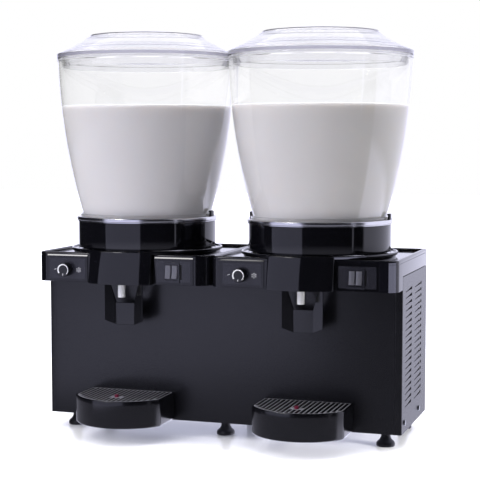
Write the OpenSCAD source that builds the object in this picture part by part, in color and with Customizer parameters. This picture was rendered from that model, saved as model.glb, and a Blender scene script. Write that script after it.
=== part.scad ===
// Cold drink dispenser with two clear bowls on one refrigerated cabinet.
// Each bowl has a magnet-driven impeller, a push-lever tap and a lift-off drip tray.
// Millimetres, +Z up, +X to the right as seen from the front, +Y to the back.

/* [Bowls and lids] */
// Outer radius of a bowl at its rim
bowl_r = 137.5; // [128:0.5:150]
// Outer radius of a bowl just above its foot
bowl_foot_r = 99.5; // [90:0.5:108]
// Width of the flange round a bowl's foot
foot_flange_w = 4.5; // [3.5:0.1:8]
// Height of a bowl above the seat ring
bowl_h = 243; // [200:1:280]
// How far the bowl's wall swells out past a straight taper
bowl_swell = 8.2; // [5:0.1:12]
// Wall thickness of the bowls
bowl_t = 3; // [2:0.1:4]
// Wall thickness of the lids
lid_t = 2.5; // [2:0.1:4]
// How far a lid's rim stands out past the bowl
lid_overhang = 1.5; // [0.5:0.1:4]
// Gap between the rims of the two lids
lid_gap = 2; // [1:0.5:20]
// Height of a lid above the bowl's rim, to its raised top
lid_h = 36; // [28:1:50]
// Radius of the lid's raised top
lid_top_r = 87; // [70:1:100]
// How far the raised top is domed
lid_dome = 5.5; // [3:0.5:10]
// Depth of the lid's skirt inside the bowl
lid_skirt = 14; // [8:1:24]

/* [Cooling cup] */
// How far the stainless cooling cup's wall stands inside the bowl's foot
cup_inset = 4.5; // [4:0.1:8]
// Depth of the cooling cup
cup_depth = 32; // [24:1:33]
// Thickness of the cup's sheet
cup_t = 1.2; // [0.8:0.1:1.6]
// Width of the polished seat ring outside the bowl's flange
ring_shelf = 6; // [5:0.1:9]
// Height of the seat ring
seat_ring_h = 5.8; // [5:0.2:12]
// Width of the upright clips on the seat ring
clip_w = 13; // [8:0.5:20]
// Height of the upright clips on the seat ring
clip_h = 9; // [5:0.5:14]
// Thickness of the rubber seal round the bowl's spigot
seal_t = 1.6; // [1:0.1:2.4]
// Radius of the copper evaporator tube
coil_tube_r = 3.4; // [2.5:0.1:3.6]
// Turns of the evaporator tube round the cup
coil_turns = 3; // [2:1:4]
// Radius of the pivot pin in the middle of the cup
pivot_r = 4; // [3:0.5:6]

/* [Stirring drive] */
// Reach of the impeller's paddles
impeller_r = 78; // [60:1:86]
// Height of the impeller's paddles
paddle_h = 14; // [8:1:18]
// Radius of the magnet discs in the impeller and in the drive
magnet_r = 40; // [30:1:44]
// Width of the square geared motor
motor_w = 64; // [50:1:76]
// Height of the geared motor
motor_h = 42; // [30:1:48]
// Radius of the motor shaft
motor_shaft_r = 3; // [2:0.5:4]

/* [Collar and deck] */
// How far the collar under a bowl stands inside the seat ring
collar_step = 2.5; // [1:0.1:3.5]
// Height of the collar
collar_h = 41; // [36:1:44]
// Wall thickness of the moulded collar and deck
mould_t = 3; // [2.4:0.1:3.4]
// How far the round pedestal's top stands out past the collar
pedestal_step = 10.5; // [8:0.5:14]
// How far the apron flares out below the pedestal's top
apron_flare = 8; // [4:0.5:12]
// Reach of the apron in front of the front panel
apron_reach = 64.5; // [63:0.5:72]
// Half the width of the apron between the control pods
apron_half_w = 50; // [46:1:56]
// Height of the pedestal above the deck's rim
pedestal_rise = 4.5; // [2:0.5:8]
// Height of the deck above the side panels
deck_h = 25.5; // [22:0.5:32]
// Height of the rim round the deck
deck_rim_h = 6; // [3:0.5:9]
// Depth of the deck behind the pedestal
deck_back = 15.5; // [10:0.5:40]
// Reach of the control pods in front of the front panel
pod_reach = 40; // [38:0.5:46]
// Drop of the control pods below the side panels' top
pod_drop = 20; // [18:0.5:26]
// Corner radius of the control pods
pod_corner_r = 14; // [8:0.5:18]
// How far the fascia stands out of a pod
fascia_t = 1; // [0.5:0.1:2]

/* [Controls] */
// Knob position left of the module's middle
knob_x = 92; // [80:1:104]
// Radius of the thermostat knob
knob_r = 10.5; // [8:0.5:12]
// Length of the knob in front of the fascia
knob_l = 13; // [8:0.5:18]
// Switch position right of the module's middle
switch_x = 80; // [74:1:100]
// Width of the switch bezel
bezel_w = 25.5; // [25:0.1:28]
// Height of the switch bezel
bezel_h = 30.5; // [29:0.1:34]
// Width of one rocker
rocker_w = 8.4; // [7:0.1:8.8]
// Height of one rocker
rocker_h = 20; // [16:0.5:21]
// Throw of a rocker between off and on
rocker_throw = 16; // [10:1:18]

/* [Tap] */
// Reach of the spout's axis in front of the front panel
spout_reach = 43; // [42:0.5:48]
// Outer radius of the spout
spout_r = 5.5; // [4.5:0.1:6]
// Bore radius of the spout
spout_bore_r = 4; // [3:0.1:4]
// Drop of the spout below the pods
spout_drop = 20.5; // [10:0.5:30]
// Reach of the lever's pivot and pad in front of the front panel
lever_reach = 30; // [29.5:0.5:32]
// Width of the lever's middle pad
pad_w = 29; // [26:0.5:32]
// Height of the lever's middle pad
pad_h = 34; // [26:1:44]
// Gap in height between the spout's mouth and the pad
pad_below_spout = 9.5; // [6:0.5:16]
// Width of the lever over its wings
lever_w = 62; // [58:0.5:68]
// How far the wings come forward of the pad
wing_forward = 7; // [4:0.5:9]
// Rise of the wings' lower corners
wing_rise = 7; // [3:0.5:12]
// Thickness of the lever's plate
lever_t = 3; // [2:0.1:3.5]
// Radius of the lever's pin
lever_pin_r = 2; // [1.5:0.1:2.5]
// Height of the lever's pivot above the valve rod
lever_arm = 12; // [11.5:0.5:13]
// Radius of the valve piston
piston_r = 6; // [5:0.1:7]

/* [Drip tray] */
// Reach of the drip tray in front of the front panel
tray_reach = 101; // [90:1:120]
// Width of the drip tray
tray_w = 138; // [124:1:150]
// Reach of the tray's straight sides
tray_side = 61; // [50:1:70]
// Height of the drip tray
tray_h = 41.5; // [34:0.5:50]
// Height of the tray's underside above the panel's lower edge
tray_lift = 2; // [1:0.5:8]
// Wall thickness of the tray
tray_t = 2.5; // [2:0.1:3.5]
// Thickness of the tray's grille
grille_t = 2.5; // [2:0.1:4]
// Distance between the grille's slots
slot_pitch = 7; // [6:0.5:9]
// Width of the grille's slots
slot_w = 3.6; // [2:0.1:4.4]
// Reach of the float in front of the front panel
float_reach = 64; // [50:1:70]
// Radius of the float's red stem
float_stem_r = 3.2; // [2:0.1:5]

/* [Cabinet] */
// Height of the side panels
cabinet_h = 232; // [222:1:270]
// Thickness of the folded sheet steel
sheet_t = 1.2; // [0.8:0.1:2]
// Width of the side panels' folded edges
fold_w = 10; // [8:1:16]
// Height of the base pan's upturned edges
pan_h = 20; // [18:1:26]
// Rows of louvre slots in a side panel
louvre_rows = 19; // [8:1:20]
// Distance between louvre rows
louvre_pitch = 9.45; // [7:0.05:10]
// Height of a louvre slot
louvre_slot = 3; // [2:0.1:4]
// Height of the lowest louvre above the panel's lower edge
louvre_low = 36; // [32:1:44]
// Gap left between fixed pieces that stand side by side
seat_gap = 0.3; // [0.1:0.05:0.5]
// Radial clearance of a pin or shaft that turns in its hole
running_gap = 0.05; // [0.02:0.01:0.1]
// Clearance all round a piece that lifts or slides
slide_gap = 0.4; // [0.3:0.05:0.6]

/* [Feet] */
// Height of the feet under the cabinet
foot_h = 24; // [18:1:36]
// Radius of a foot's base
foot_r = 14; // [11:0.5:18]
// Radius of a foot's threaded stud
stud_r = 4.5; // [3:0.5:6]
// Distance of the outer feet from the cabinet's sides
foot_inset = 30; // [24:1:50]
// Distance of the feet from the front and rear panels
foot_depth = 33; // [24:1:44]

/* [Refrigeration] */
// Radius of the compressor's shell
compressor_r = 58; // [45:1:64]
// Height of the compressor over its rubber mounts
compressor_h = 148; // [120:1:156]
// Height of the condenser block
condenser_h = 165; // [120:1:170]
// Number of condenser fins
fin_count = 18; // [10:1:24]
// Radius of the fan's blades
fan_r = 62; // [40:1:66]

/* [Hidden] */
$fn = 96;
eps = 0.01;
past = 1;
left = -1;
right = 1;
sides = [left, right];

// Plan sizes that follow from the bowls
foot_flange_r = bowl_foot_r + foot_flange_w;
foot_flange_t = 3.8;
cup_r = bowl_foot_r - cup_inset;
seat_ring_r = foot_flange_r + ring_shelf;
collar_r = seat_ring_r - collar_step;
pedestal_r = collar_r + pedestal_step;
apron_r = pedestal_r + apron_flare;
bowl_setback = apron_r - apron_reach;
lid_r = bowl_r + lid_overhang;
module_w = 2 * lid_r + lid_gap;
module_half = module_w / 2;
cabinet_w = 2 * module_w;
cabinet_half = cabinet_w / 2;
cabinet_d = bowl_setback + pedestal_r + deck_back;

// Heights from the floor up
panel_z = foot_h;
deck_z = panel_z + cabinet_h;
pod_z = deck_z - pod_drop;
rim_z = deck_z + deck_h;
floor_z = rim_z - deck_rim_h;
ceiling_z = floor_z - mould_t;
pedestal_z = rim_z + pedestal_rise;
collar_z = pedestal_z + collar_h;
flange_z = collar_z + cup_t;
seat_z = flange_z + seat_ring_h;
bowl_z = seat_z + seat_gap;
bowl_top = bowl_z + bowl_h;
lid_z = bowl_top + seat_gap;
cup_floor = collar_z - cup_depth;
pivot_rise = 8;
pivot_gap = 1;
hub_wall = 5;
hub_cap = 4;
paddle_t = 3;
impeller_disc_t = 6;
foam_top = cup_floor - cup_t - seat_gap;

// Radii round a bowl's axis
collar_in = collar_r - mould_t;
lip_w = 6.5;
lip_r = collar_in - lip_w;
seat_bore = cup_r + seal_t + bowl_t / 2;
seal_r = seat_bore - seal_t;
spigot_r = seal_r - seat_gap;
spigot_in = spigot_r - bowl_t;
spigot_l = seat_ring_h - cup_t;
flange_r = seat_ring_r - cup_t / 2;
clip_in = foot_flange_r + 1;

// Tap and lever, from the front panel's face and the pods' lower edge
valve_z = pod_z + lever_arm * 1.5;
pivot_z = valve_z + lever_arm;
lever_y = -lever_reach;
spout_y = -spout_reach;
spout_z = pod_z - spout_drop;
pad_top = spout_z - pad_below_spout;
pad_z = pad_top - pad_h;
tap_front = lever_y + 5;
tap_half = piston_r + 5;
tap_z = pod_z + 4;
tap_top = valve_z + piston_r + 4;
rod_r = piston_r / 3;
piston_l = piston_r;
chamber_wall = 3;
chamber_front = tap_front + chamber_wall;
drain_y = chamber_front + 2.5;
drain_r = 5;
drain_bore = 3.6;
drain_socket = 3;
outlet_y = chamber_front + 5 + piston_l / 2;
outlet_r = piston_l / 2;
outlet_z = tap_z + 3.5;
neck_r = outlet_r + 1.8;
elbow_r = spout_r + 2.5;
elbow_z = pod_z + 3;
elbow_top = outlet_z + neck_r;
spout_top = elbow_z + 4;
lug_in = tap_half + 3;
lug_t = 4.5;
lug_r = 5.5;
ear_in = lug_in + lug_t + slide_gap;
ear_t = 4;
pin_half = ear_in + ear_t + past;
web_half_h = 4;
spring_wire = 0.5;
spring_turns = 4;

// Controls, from the pods' front face
pod_y = -pod_reach;
fascia_y = pod_y - fascia_t;
control_z = pod_z + 19;
knob_shaft_r = 3;
bush_r = 4.5;
thermostat_w = 28;
thermostat_d = 26;
bezel_t = 1.5;
housing_w = bezel_w - 3.1;
housing_h = bezel_h - 3;
housing_d = 24;
rocker_room = 0.3;
rocker_x = rocker_w / 2 + rocker_room + 0.7;
rocker_back = 3.5;
rocker_depth = 7;
rocker_y = fascia_y + 3;
trunnion_r = 1.5;
trunnion_l = 0.9;

// Drip tray
tray_z = panel_z + tray_lift;
tray_top = tray_z + tray_h;
tray_sag = tray_reach - tray_side;
tray_arc = (pow(tray_w / 2, 2) + pow(tray_sag, 2)) / (2 * tray_sag);
tray_floor = tray_z + tray_t + 0.5;
ledge_w = 2;
grille_z = tray_top - grille_t - 0.3;
ledge_z = grille_z - seat_gap;
grille_margin = 3;
float_z = tray_floor + seat_gap;
float_r = 11;
float_h = 9;
float_top = tray_top + 4;
hook_x = tray_w * 0.3;
hook_w = 12;
hook_t = 4;
hook_l = 8;
hook_z = ledge_z - 6.5;

// Cabinet
fold_in = cabinet_half - fold_w;
panel_half = fold_in - seat_gap;
inner_half = cabinet_half - sheet_t;
inner_front = sheet_t;
inner_back = cabinet_d - sheet_t;
pan_floor = panel_z + sheet_t;
panel_fold = 12;
plate_t = 1.5;
plate_z = deck_z - plate_t - 6.5;
plate_drop = 14;
screw_r = 1.9;
screw_hole_r = screw_r + running_gap;
screw_head_r = 4;
screw_head_h = 2;
screw_l = 7;
screw_z = panel_z + 15;
side_screws = [20, 133];
rear_screws = [-200, -70, 70, 200];
louvre_front = [24, 50];
louvre_rear = [95, 59];
vent_w = 70;
vent_rows = 12;
vent_pitch = 9;
vent_slot = 4;
vent_low = 60;
inlet_x = -230;
inlet_z = panel_z + 40;
inlet_r = 8;
inlet_flange_r = 13;
inlet_l = 4;

// Refrigeration, inside the cabinet
base_room = 6;
compressor_x = -module_half;
compressor_inset = 89;
compressor_y = cabinet_d - compressor_inset;
condenser_inset = 44;
condenser_x = cabinet_half - condenser_inset;
condenser_w = 32;
condenser_front = 20;
condenser_back = cabinet_d - condenser_front;
stud_rise = 12;
fin_low = pan_floor + stud_rise + 3;
fin_margin = 4;
fan_y = cabinet_d / 2;
fan_rise = 8;
fan_z = pan_floor + condenser_h / 2 + fan_rise;
fan_hub_r = 18;
fan_hub_l = 20;
fan_gap = 12;
fan_x = condenser_x - fan_hub_l - fan_gap;
fan_shaft_r = 4;
fan_motor_r = 28;
fan_motor_l = 46;
blade_count = 5;

// The row's origin is the middle of the footprint, on the floor
back_most = max(bowl_setback + lid_r, cabinet_d + inlet_l);
middle_y = (back_most - tray_reach) / 2;

// Places a piece in the row's frame
module in_row() {
    translate([0, -middle_y, 0]) children();
}

// Places a piece in the left or the right module
module at_module(side) {
    translate([side * module_half, -middle_y, 0]) children();
}

// Places a piece on a bowl's axis
module at_bowl(side) {
    translate([side * module_half, bowl_setback - middle_y, 0]) children();
}

// Box given by its limits along each axis
module block(x, y, z) {
    translate([x[0], y[0], z[0]]) cube([x[1] - x[0], y[1] - y[0], z[1] - z[0]]);
}

// Upright round bar between two heights
module post(r, z) {
    translate([0, 0, z[0]]) cylinder(r = r, h = z[1] - z[0]);
}

// Upright tube between two heights
module tube(r_out, r_in, z) {
    difference() {
        post(r_out, z);
        post(r_in, [z[0] - past, z[1] + past]);
    }
}

// Round bar along X at the given height and depth
module bar_x(r, x, y, z) {
    translate([x[0], y, z]) rotate([0, 90, 0]) cylinder(r = r, h = x[1] - x[0]);
}

// Round bar along Y at the given place
module bar_y(r, x, y, z) {
    translate([x, y[1], z]) rotate([90, 0, 0]) cylinder(r = r, h = y[1] - y[0]);
}

// Bowl and lid

// Outer radius of the bowl at a height above its foot: an arc through rim, foot and swell
function bowl_outer(h) =
    let (rise = bowl_r - bowl_foot_r,
         chord = norm([rise, bowl_h]),
         arc = (pow(chord / 2, 2) + pow(bowl_swell, 2)) / (2 * bowl_swell),
         mid_r = (bowl_r + bowl_foot_r) / 2 - (arc - bowl_swell) * bowl_h / chord,
         mid_h = bowl_h / 2 + (arc - bowl_swell) * rise / chord)
    mid_r + sqrt(pow(arc, 2) - pow(h - mid_h, 2));

bowl_steps = 20;

module bowl(side) {
    outer = [for (i = [0 : bowl_steps]) let (h = bowl_h * i / bowl_steps) [bowl_outer(h), h]];
    inner = [for (i = [bowl_steps : -1 : 0]) let (h = bowl_h * i / bowl_steps) [bowl_outer(h) - bowl_t, h]];
    foot = [[spigot_in, 0], [spigot_in, -spigot_l], [spigot_r, -spigot_l], [spigot_r, 0],
            [foot_flange_r, 0], [foot_flange_r, foot_flange_t],
            [bowl_outer(foot_flange_t), foot_flange_t]];
    color("aliceblue", 0.4) at_bowl(side) translate([0, 0, bowl_z]) rotate_extrude() polygon(concat(
        foot,
        [for (p = outer) if (p[1] > foot_flange_t) p],
        [for (p = inner) if (p[1] > foot_flange_t) p],
        [[bowl_outer(0) - bowl_t, foot_flange_t]]));
}

lid_steps = 8;

module lid(side) {
    rim_h = 6;
    shoulder = lid_r - 4.5;
    lip_h = 2;
    skirt_r = bowl_outer(bowl_h - lid_skirt) - bowl_t - slide_gap * 2;
    dome = [for (i = [0 : lid_steps])
        let (r = (lid_top_r - lid_t) * (1 - i / lid_steps))
        [r, lid_dome * (1 - pow(r / (lid_top_r - lid_t), 2))]];
    color("aliceblue", 0.4) at_bowl(side) translate([0, 0, lid_z]) rotate_extrude() polygon(concat(
        [[lid_r, 0], [lid_r, rim_h], [shoulder, rim_h + lip_h],
         [lid_top_r, lid_h - lip_h], [lid_top_r, lid_h]],
        [for (p = dome) [p[0], lid_h + p[1]]],
        [for (i = [lid_steps : -1 : 0]) [dome[i][0] - (i == 0 ? lid_t : 0), lid_h + dome[i][1] - lid_t]],
        [[lid_top_r - lid_t, lid_h - lid_t * 2], [skirt_r - lid_t, rim_h + lip_h - lid_t],
         [skirt_r - lid_t, -lid_skirt], [skirt_r, -lid_skirt], [skirt_r, 0]]));
}

// Cooling cup, its coil, foam, seat ring and seal

module cooling_cup(side) {
    corner = 6;
    at_bowl(side) difference() {
        union() {
            rotate_extrude() polygon([
                [0, cup_floor - cup_t], [cup_r - corner, cup_floor - cup_t],
                [cup_r + cup_t, cup_floor - cup_t + corner], [cup_r + cup_t, collar_z],
                [flange_r, collar_z], [flange_r, flange_z], [cup_r, flange_z],
                [cup_r, cup_floor + corner], [cup_r - corner, cup_floor], [0, cup_floor]]);
            post(pivot_r, [cup_floor - eps, cup_floor + paddle_h + pivot_rise]);
            translate([0, drain_y - bowl_setback, 0])
                post(drain_r, [tap_top - drain_socket, cup_floor - eps]);
        }
        translate([0, drain_y - bowl_setback, 0])
            post(drain_bore, [tap_top - drain_socket - past, cup_floor + past]);
    }
}

module cooling_cups() {
    color("silver") for (s = sides) cooling_cup(s);
}

module cooling_coils() {
    coil_r = (cup_r + cup_t + collar_in) / 2;
    low = cup_floor + 6;
    pitch = (collar_z - coil_tube_r - 2 - low) / coil_turns;
    color("peru") for (s = sides) at_bowl(s) {
        for (i = [0 : coil_turns - 1])
            translate([0, 0, low + i * pitch])
                rotate_extrude() translate([coil_r, 0]) circle(coil_tube_r);
        translate([0, coil_r, 0]) post(coil_tube_r * 0.9, [foam_top, low + (coil_turns - 1) * pitch]);
    }
}

module insulation_rings() {
    color("ivory") for (s = sides) at_bowl(s) difference() {
        tube(collar_in - seat_gap, magnet_r + 6, [pedestal_z, foam_top]);
        translate([0, drain_y - bowl_setback, 0])
            post(drain_r + slide_gap, [pedestal_z - past, cup_floor]);
    }
}

module seat_rings() {
    color("silver") for (s = sides) at_bowl(s) {
        tube(seat_ring_r, seat_bore, [flange_z, seat_z]);
        for (c = sides) mirror([c < 0 ? 1 : 0, 0, 0])
            block([clip_in, seat_ring_r - 1], [-clip_w / 2, clip_w / 2], [seat_z - past, seat_z + clip_h]);
    }
}

module bowl_seals() {
    color("dimgray") for (s = sides) at_bowl(s)
        tube(seat_bore - running_gap, seal_r, [flange_z, seat_z - past]);
}

// Stirring drive

module impeller(side) {
    hub_r = pivot_r + hub_wall;
    z = cup_floor + slide_gap;
    color("whitesmoke") at_bowl(side) difference() {
        union() {
            post(magnet_r, [z, z + impeller_disc_t]);
            post(hub_r, [z, z + paddle_h + pivot_rise + hub_cap]);
            for (a = [0 : 90 : 270])
                rotate([0, 0, a])
                    block([hub_r - past, impeller_r], [-paddle_t / 2, paddle_t / 2],
                          [z + impeller_disc_t - eps, z + impeller_disc_t + paddle_h]);
        }
        post(pivot_r + running_gap, [z - past, cup_floor + paddle_h + pivot_rise + pivot_gap]);
    }
}

module magnet_drive(side) {
    disc_t = 10;
    top = cup_floor - cup_t - 2;
    color("gray") at_bowl(side) {
        post(magnet_r, [top - disc_t, top]);
        post(motor_shaft_r, [plate_z - motor_h / 2, top - disc_t + eps]);
    }
}

module drive_motors() {
    boss_r = 14;
    boss_h = 12;
    color("darkgray") for (s = sides) at_bowl(s) difference() {
        union() {
            block([-motor_w / 2, motor_w / 2], [-motor_w / 2, motor_w / 2], [plate_z - motor_h, plate_z]);
            post(boss_r, [plate_z - eps, plate_z + plate_t + boss_h]);
        }
        post(motor_shaft_r + running_gap,
             [plate_z - motor_h / 2 - past, plate_z + plate_t + boss_h + past]);
    }
}

module motor_plate() {
    boss_hole = 14 + seat_gap;
    color("lightgray") in_row() difference() {
        union() {
            block([-inner_half, inner_half], [inner_front, inner_back], [plate_z, plate_z + plate_t]);
            block([-inner_half, inner_half], [inner_front, inner_front + plate_t],
                  [plate_z - plate_drop, plate_z + eps]);
            block([-inner_half, inner_half], [inner_back - plate_t, inner_back],
                  [plate_z - plate_drop, plate_z + eps]);
        }
        for (s = sides)
            translate([s * module_half, bowl_setback, 0])
                post(boss_hole, [plate_z - past, plate_z + plate_t + past]);
    }
}

// Collar and deck

module collar(side) {
    color("#141416") at_bowl(side) tube(collar_r, collar_in, [pedestal_z, collar_z]);
}

// Plan of one deck half, drawn in by a margin, with rounded front corners
module deck_plan(margin) {
    half = module_half - margin;
    r = pod_corner_r - margin;
    y = [pod_y + margin, cabinet_d - margin];
    translate([-half, y[0] + r]) square([2 * half, y[1] - y[0] - r]);
    translate([r - half, y[0]]) square([2 * (half - r), 2 * r]);
    for (s = sides) translate([s * (half - r), y[0] + r]) circle(r);
}

module deck_prism(margin, z) {
    translate([0, 0, z[0]]) linear_extrude(z[1] - z[0]) deck_plan(margin);
}

// Round pedestal that flares down into the apron, drawn in by a margin
module pedestal(margin, z) {
    flare = (apron_r - pedestal_r) / (pedestal_z - pod_z);
    translate([0, bowl_setback, z[0]])
        cylinder(r1 = pedestal_r - margin + flare * (pedestal_z - z[0]),
                 r2 = pedestal_r - margin + flare * (pedestal_z - z[1]), h = z[1] - z[0]);
}

// Everything of one deck half before it is hollowed
module deck_solid() {
    reach = apron_r + past;
    z = [pod_z - past, pedestal_z + past];
    difference() {
        union() {
            deck_prism(0, [pod_z, rim_z]);
            intersection() {
                pedestal(0, [pod_z, pedestal_z]);
                union() {
                    block([-apron_half_w, apron_half_w], [-reach, cabinet_d], z);
                    block([-reach, reach], [pod_y + mould_t, cabinet_d], z);
                }
            }
            for (x = [[-module_half + pod_corner_r, -apron_half_w - 2],
                      [apron_half_w + 2, module_half - pod_corner_r]])
                block(x, [fascia_y, pod_y + past], [pod_z, floor_z + 1.5]);
        }
        block([-module_half - past, module_half + past], [0, cabinet_d + past], [pod_z - past, deck_z]);
    }
}

// Room inside one deck half
module deck_room() {
    reach = apron_r + past;
    bay_half = apron_half_w - mould_t;
    difference() {
        deck_prism(mould_t, [pod_z + mould_t, ceiling_z]);
        block([-apron_half_w, apron_half_w], [-reach, 0], [pod_z, ceiling_z + past]);
    }
    intersection() {
        pedestal(mould_t, [pod_z - past, pedestal_z - mould_t]);
        union() {
            block([-bay_half, bay_half], [-reach, mould_t], [pod_z - 2 * past, ceiling_z]);
            block([-reach, reach], [-reach, cabinet_d], [ceiling_z, pedestal_z]);
        }
    }
    translate([0, bowl_setback, 0]) post(lip_r, [ceiling_z, pedestal_z + past]);
}

module deck(side) {
    rim_t = mould_t + 0.5;
    color("#17171a") at_module(side) difference() {
        deck_solid();
        deck_room();
        difference() {
            deck_prism(rim_t, [floor_z, rim_z + past]);
            pedestal(0, [floor_z - past, rim_z + 2 * past]);
        }
        bar_y(bush_r + running_gap, -knob_x, [fascia_y - past, pod_y + mould_t + past], control_z);
        block([switch_x - housing_w / 2 - seat_gap, switch_x + housing_w / 2 + seat_gap],
              [fascia_y - past, pod_y + mould_t + past],
              [control_z - housing_h / 2 - seat_gap, control_z + housing_h / 2 + seat_gap]);
    }
}

// Controls

module thermostats() {
    color("dimgray") for (s = sides) at_module(s) difference() {
        union() {
            block([-knob_x - thermostat_w / 2, thermostat_w / 2 - knob_x],
                  [pod_y + mould_t, pod_y + mould_t + thermostat_d],
                  [control_z - thermostat_w / 2 + 2, control_z + thermostat_w / 2 - 2]);
            bar_y(bush_r, -knob_x, [fascia_y, pod_y + mould_t + eps], control_z);
        }
        bar_y(knob_shaft_r + running_gap, -knob_x, [fascia_y - past, pod_y + thermostat_d / 2], control_z);
    }
}

module knob(side) {
    bevel = 1;
    front = fascia_y - knob_l;
    color("#1b1b1e") at_module(side) {
        translate([-knob_x, fascia_y - seat_gap, control_z]) rotate([90, 0, 0]) rotate_extrude()
            polygon([[0, 0], [knob_r, 0], [knob_r, knob_l - seat_gap - bevel],
                     [knob_r - bevel, knob_l - seat_gap], [0, knob_l - seat_gap]]);
        bar_y(knob_shaft_r, -knob_x, [front + past, pod_y + thermostat_d / 2 - past], control_z);
    }
}

// Rocker pockets of one switch, side by side
module rocker_pockets(y) {
    for (s = sides)
        block([switch_x + s * rocker_x - rocker_w / 2 - rocker_room,
               switch_x + s * rocker_x + rocker_w / 2 + rocker_room],
              y, [control_z - rocker_h / 2 - 1.4, control_z + rocker_h / 2 + 1.4]);
}

module switch_bodies() {
    pocket_back = rocker_y + rocker_back + 3;
    color("#202024") for (s = sides) at_module(s) difference() {
        union() {
            block([switch_x - bezel_w / 2, switch_x + bezel_w / 2], [fascia_y - bezel_t, fascia_y],
                  [control_z - bezel_h / 2, control_z + bezel_h / 2]);
            block([switch_x - housing_w / 2, switch_x + housing_w / 2],
                  [fascia_y - eps, fascia_y + housing_d],
                  [control_z - housing_h / 2, control_z + housing_h / 2]);
        }
        rocker_pockets([fascia_y - bezel_t - past, pocket_back]);
        bar_x(trunnion_r + running_gap,
              [switch_x - rocker_x - rocker_w / 2 - rocker_room - trunnion_l,
               switch_x + rocker_x + rocker_w / 2 + rocker_room + trunnion_l], rocker_y, control_z);
    }
}

// One rocker, stored in its off position; place is -1 for the left paddle, 1 for the right one
module rocker(side, place) {
    half = rocker_h / 2;
    dish = 1.5;
    color("#2a2a2e") at_module(side) translate([switch_x + place * rocker_x, rocker_y, control_z])
        rotate([-rocker_throw / 2, 0, 0]) {
            translate([-rocker_w / 2, 0, 0]) rotate([90, 0, 90]) linear_extrude(rocker_w)
                polygon([[-rocker_depth, -half], [-rocker_depth + dish, 0], [-rocker_depth, half],
                         [-1, half - 1], [rocker_back, 2.5], [rocker_back, -2.5], [-1, 1 - half]]);
            bar_x(trunnion_r, [-rocker_w / 2 - trunnion_l, rocker_w / 2 + trunnion_l], 0, 0);
        }
}

// Tap

module tap_body(side) {
    chamber_back = -chamber_wall;
    at_module(side) difference() {
        union() {
            block([-tap_half, tap_half], [tap_front, 0], [tap_z, tap_top]);
            bar_y(neck_r, 0, [spout_y, tap_front + past], outlet_z);
            translate([0, spout_y, 0]) post(elbow_r, [elbow_z, elbow_top]);
            for (s = sides) mirror([s < 0 ? 1 : 0, 0, 0]) {
                block([tap_half - past, lug_in + past], [tap_front, tap_front + 7],
                      [pivot_z - lug_r, tap_top]);
                block([lug_in, lug_in + lug_t], [lever_y, tap_front + 7],
                      [pivot_z - lug_r, pivot_z + lug_r]);
                bar_x(lug_r, [lug_in, lug_in + lug_t], lever_y, pivot_z);
            }
        }
        bar_y(piston_r, 0, [chamber_front, chamber_back], valve_z);
        bar_y(rod_r + running_gap, 0, [tap_front - past, chamber_front + past], valve_z);
        translate([0, drain_y, 0]) {
            post(drain_r + running_gap, [tap_top - drain_socket, tap_top + past]);
            post(drain_bore - 1.2, [valve_z, tap_top]);
        }
        translate([0, outlet_y, 0]) post(outlet_r, [outlet_z, valve_z]);
        bar_y(outlet_r, 0, [spout_y, outlet_y], outlet_z);
        translate([0, spout_y, 0]) {
            post(spout_r + running_gap, [elbow_z - past, spout_top]);
            post(outlet_r, [elbow_z, outlet_z]);
        }
        bar_x(lever_pin_r + running_gap, [-pin_half, pin_half], lever_y, pivot_z);
    }
}

module tap_bodies() {
    color("#1a1a1c") for (s = sides) tap_body(s);
}

module spouts() {
    color("gainsboro") for (s = sides) at_module(s) translate([0, spout_y, 0])
        tube(spout_r, spout_bore_r, [spout_z, spout_top]);
}

module tap_valve(side) {
    piston_front = outlet_y - piston_l / 2;
    rod_tip = lever_y + seat_gap;
    color("silver") at_module(side) {
        bar_y(piston_r - running_gap, 0, [piston_front, piston_front + piston_l], valve_z);
        bar_y(rod_r, 0, [rod_tip + rod_r, piston_front + eps], valve_z);
        translate([0, rod_tip + rod_r, valve_z]) sphere(rod_r);
    }
}

module tap_spring(side) {
    back = -chamber_wall;
    front = outlet_y + piston_l / 2;
    coil_r = piston_r - spring_wire - 1;
    step = (back - front - 2 * spring_wire) / (spring_turns - 1);
    color("lightgray") at_module(side) for (i = [0 : spring_turns - 1])
        translate([0, front + spring_wire + i * step, valve_z]) rotate([90, 0, 0])
            rotate_extrude() translate([coil_r, 0]) circle(spring_wire);
}

module lever_pins() {
    color("silver") for (s = sides) at_module(s)
        bar_x(lever_pin_r, [-pin_half, pin_half], lever_y, pivot_z);
}

// One wing of the lever: its plan seen from above, cut to its outline seen from the front
module lever_wing() {
    x = [pad_w / 2 - past, lever_w / 2];
    top = pod_z + 12;
    intersection() {
        translate([0, 0, pad_z]) linear_extrude(top - pad_z)
            polygon([[x[0], lever_y], [pad_w / 2, lever_y], [x[1], lever_y - wing_forward],
                     [x[1], lever_y - wing_forward + lever_t], [pad_w / 2, lever_y + lever_t],
                     [x[0], lever_y + lever_t]]);
        translate([0, tap_front, 0]) rotate([90, 0, 0]) linear_extrude(spout_reach)
            polygon([[x[0], pad_z], [pad_w / 2, pad_z], [x[1], pad_z + wing_rise], [x[1], top],
                     [ear_in, top], [pad_w / 2, pad_top], [x[0], pad_top]]);
    }
}

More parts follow.
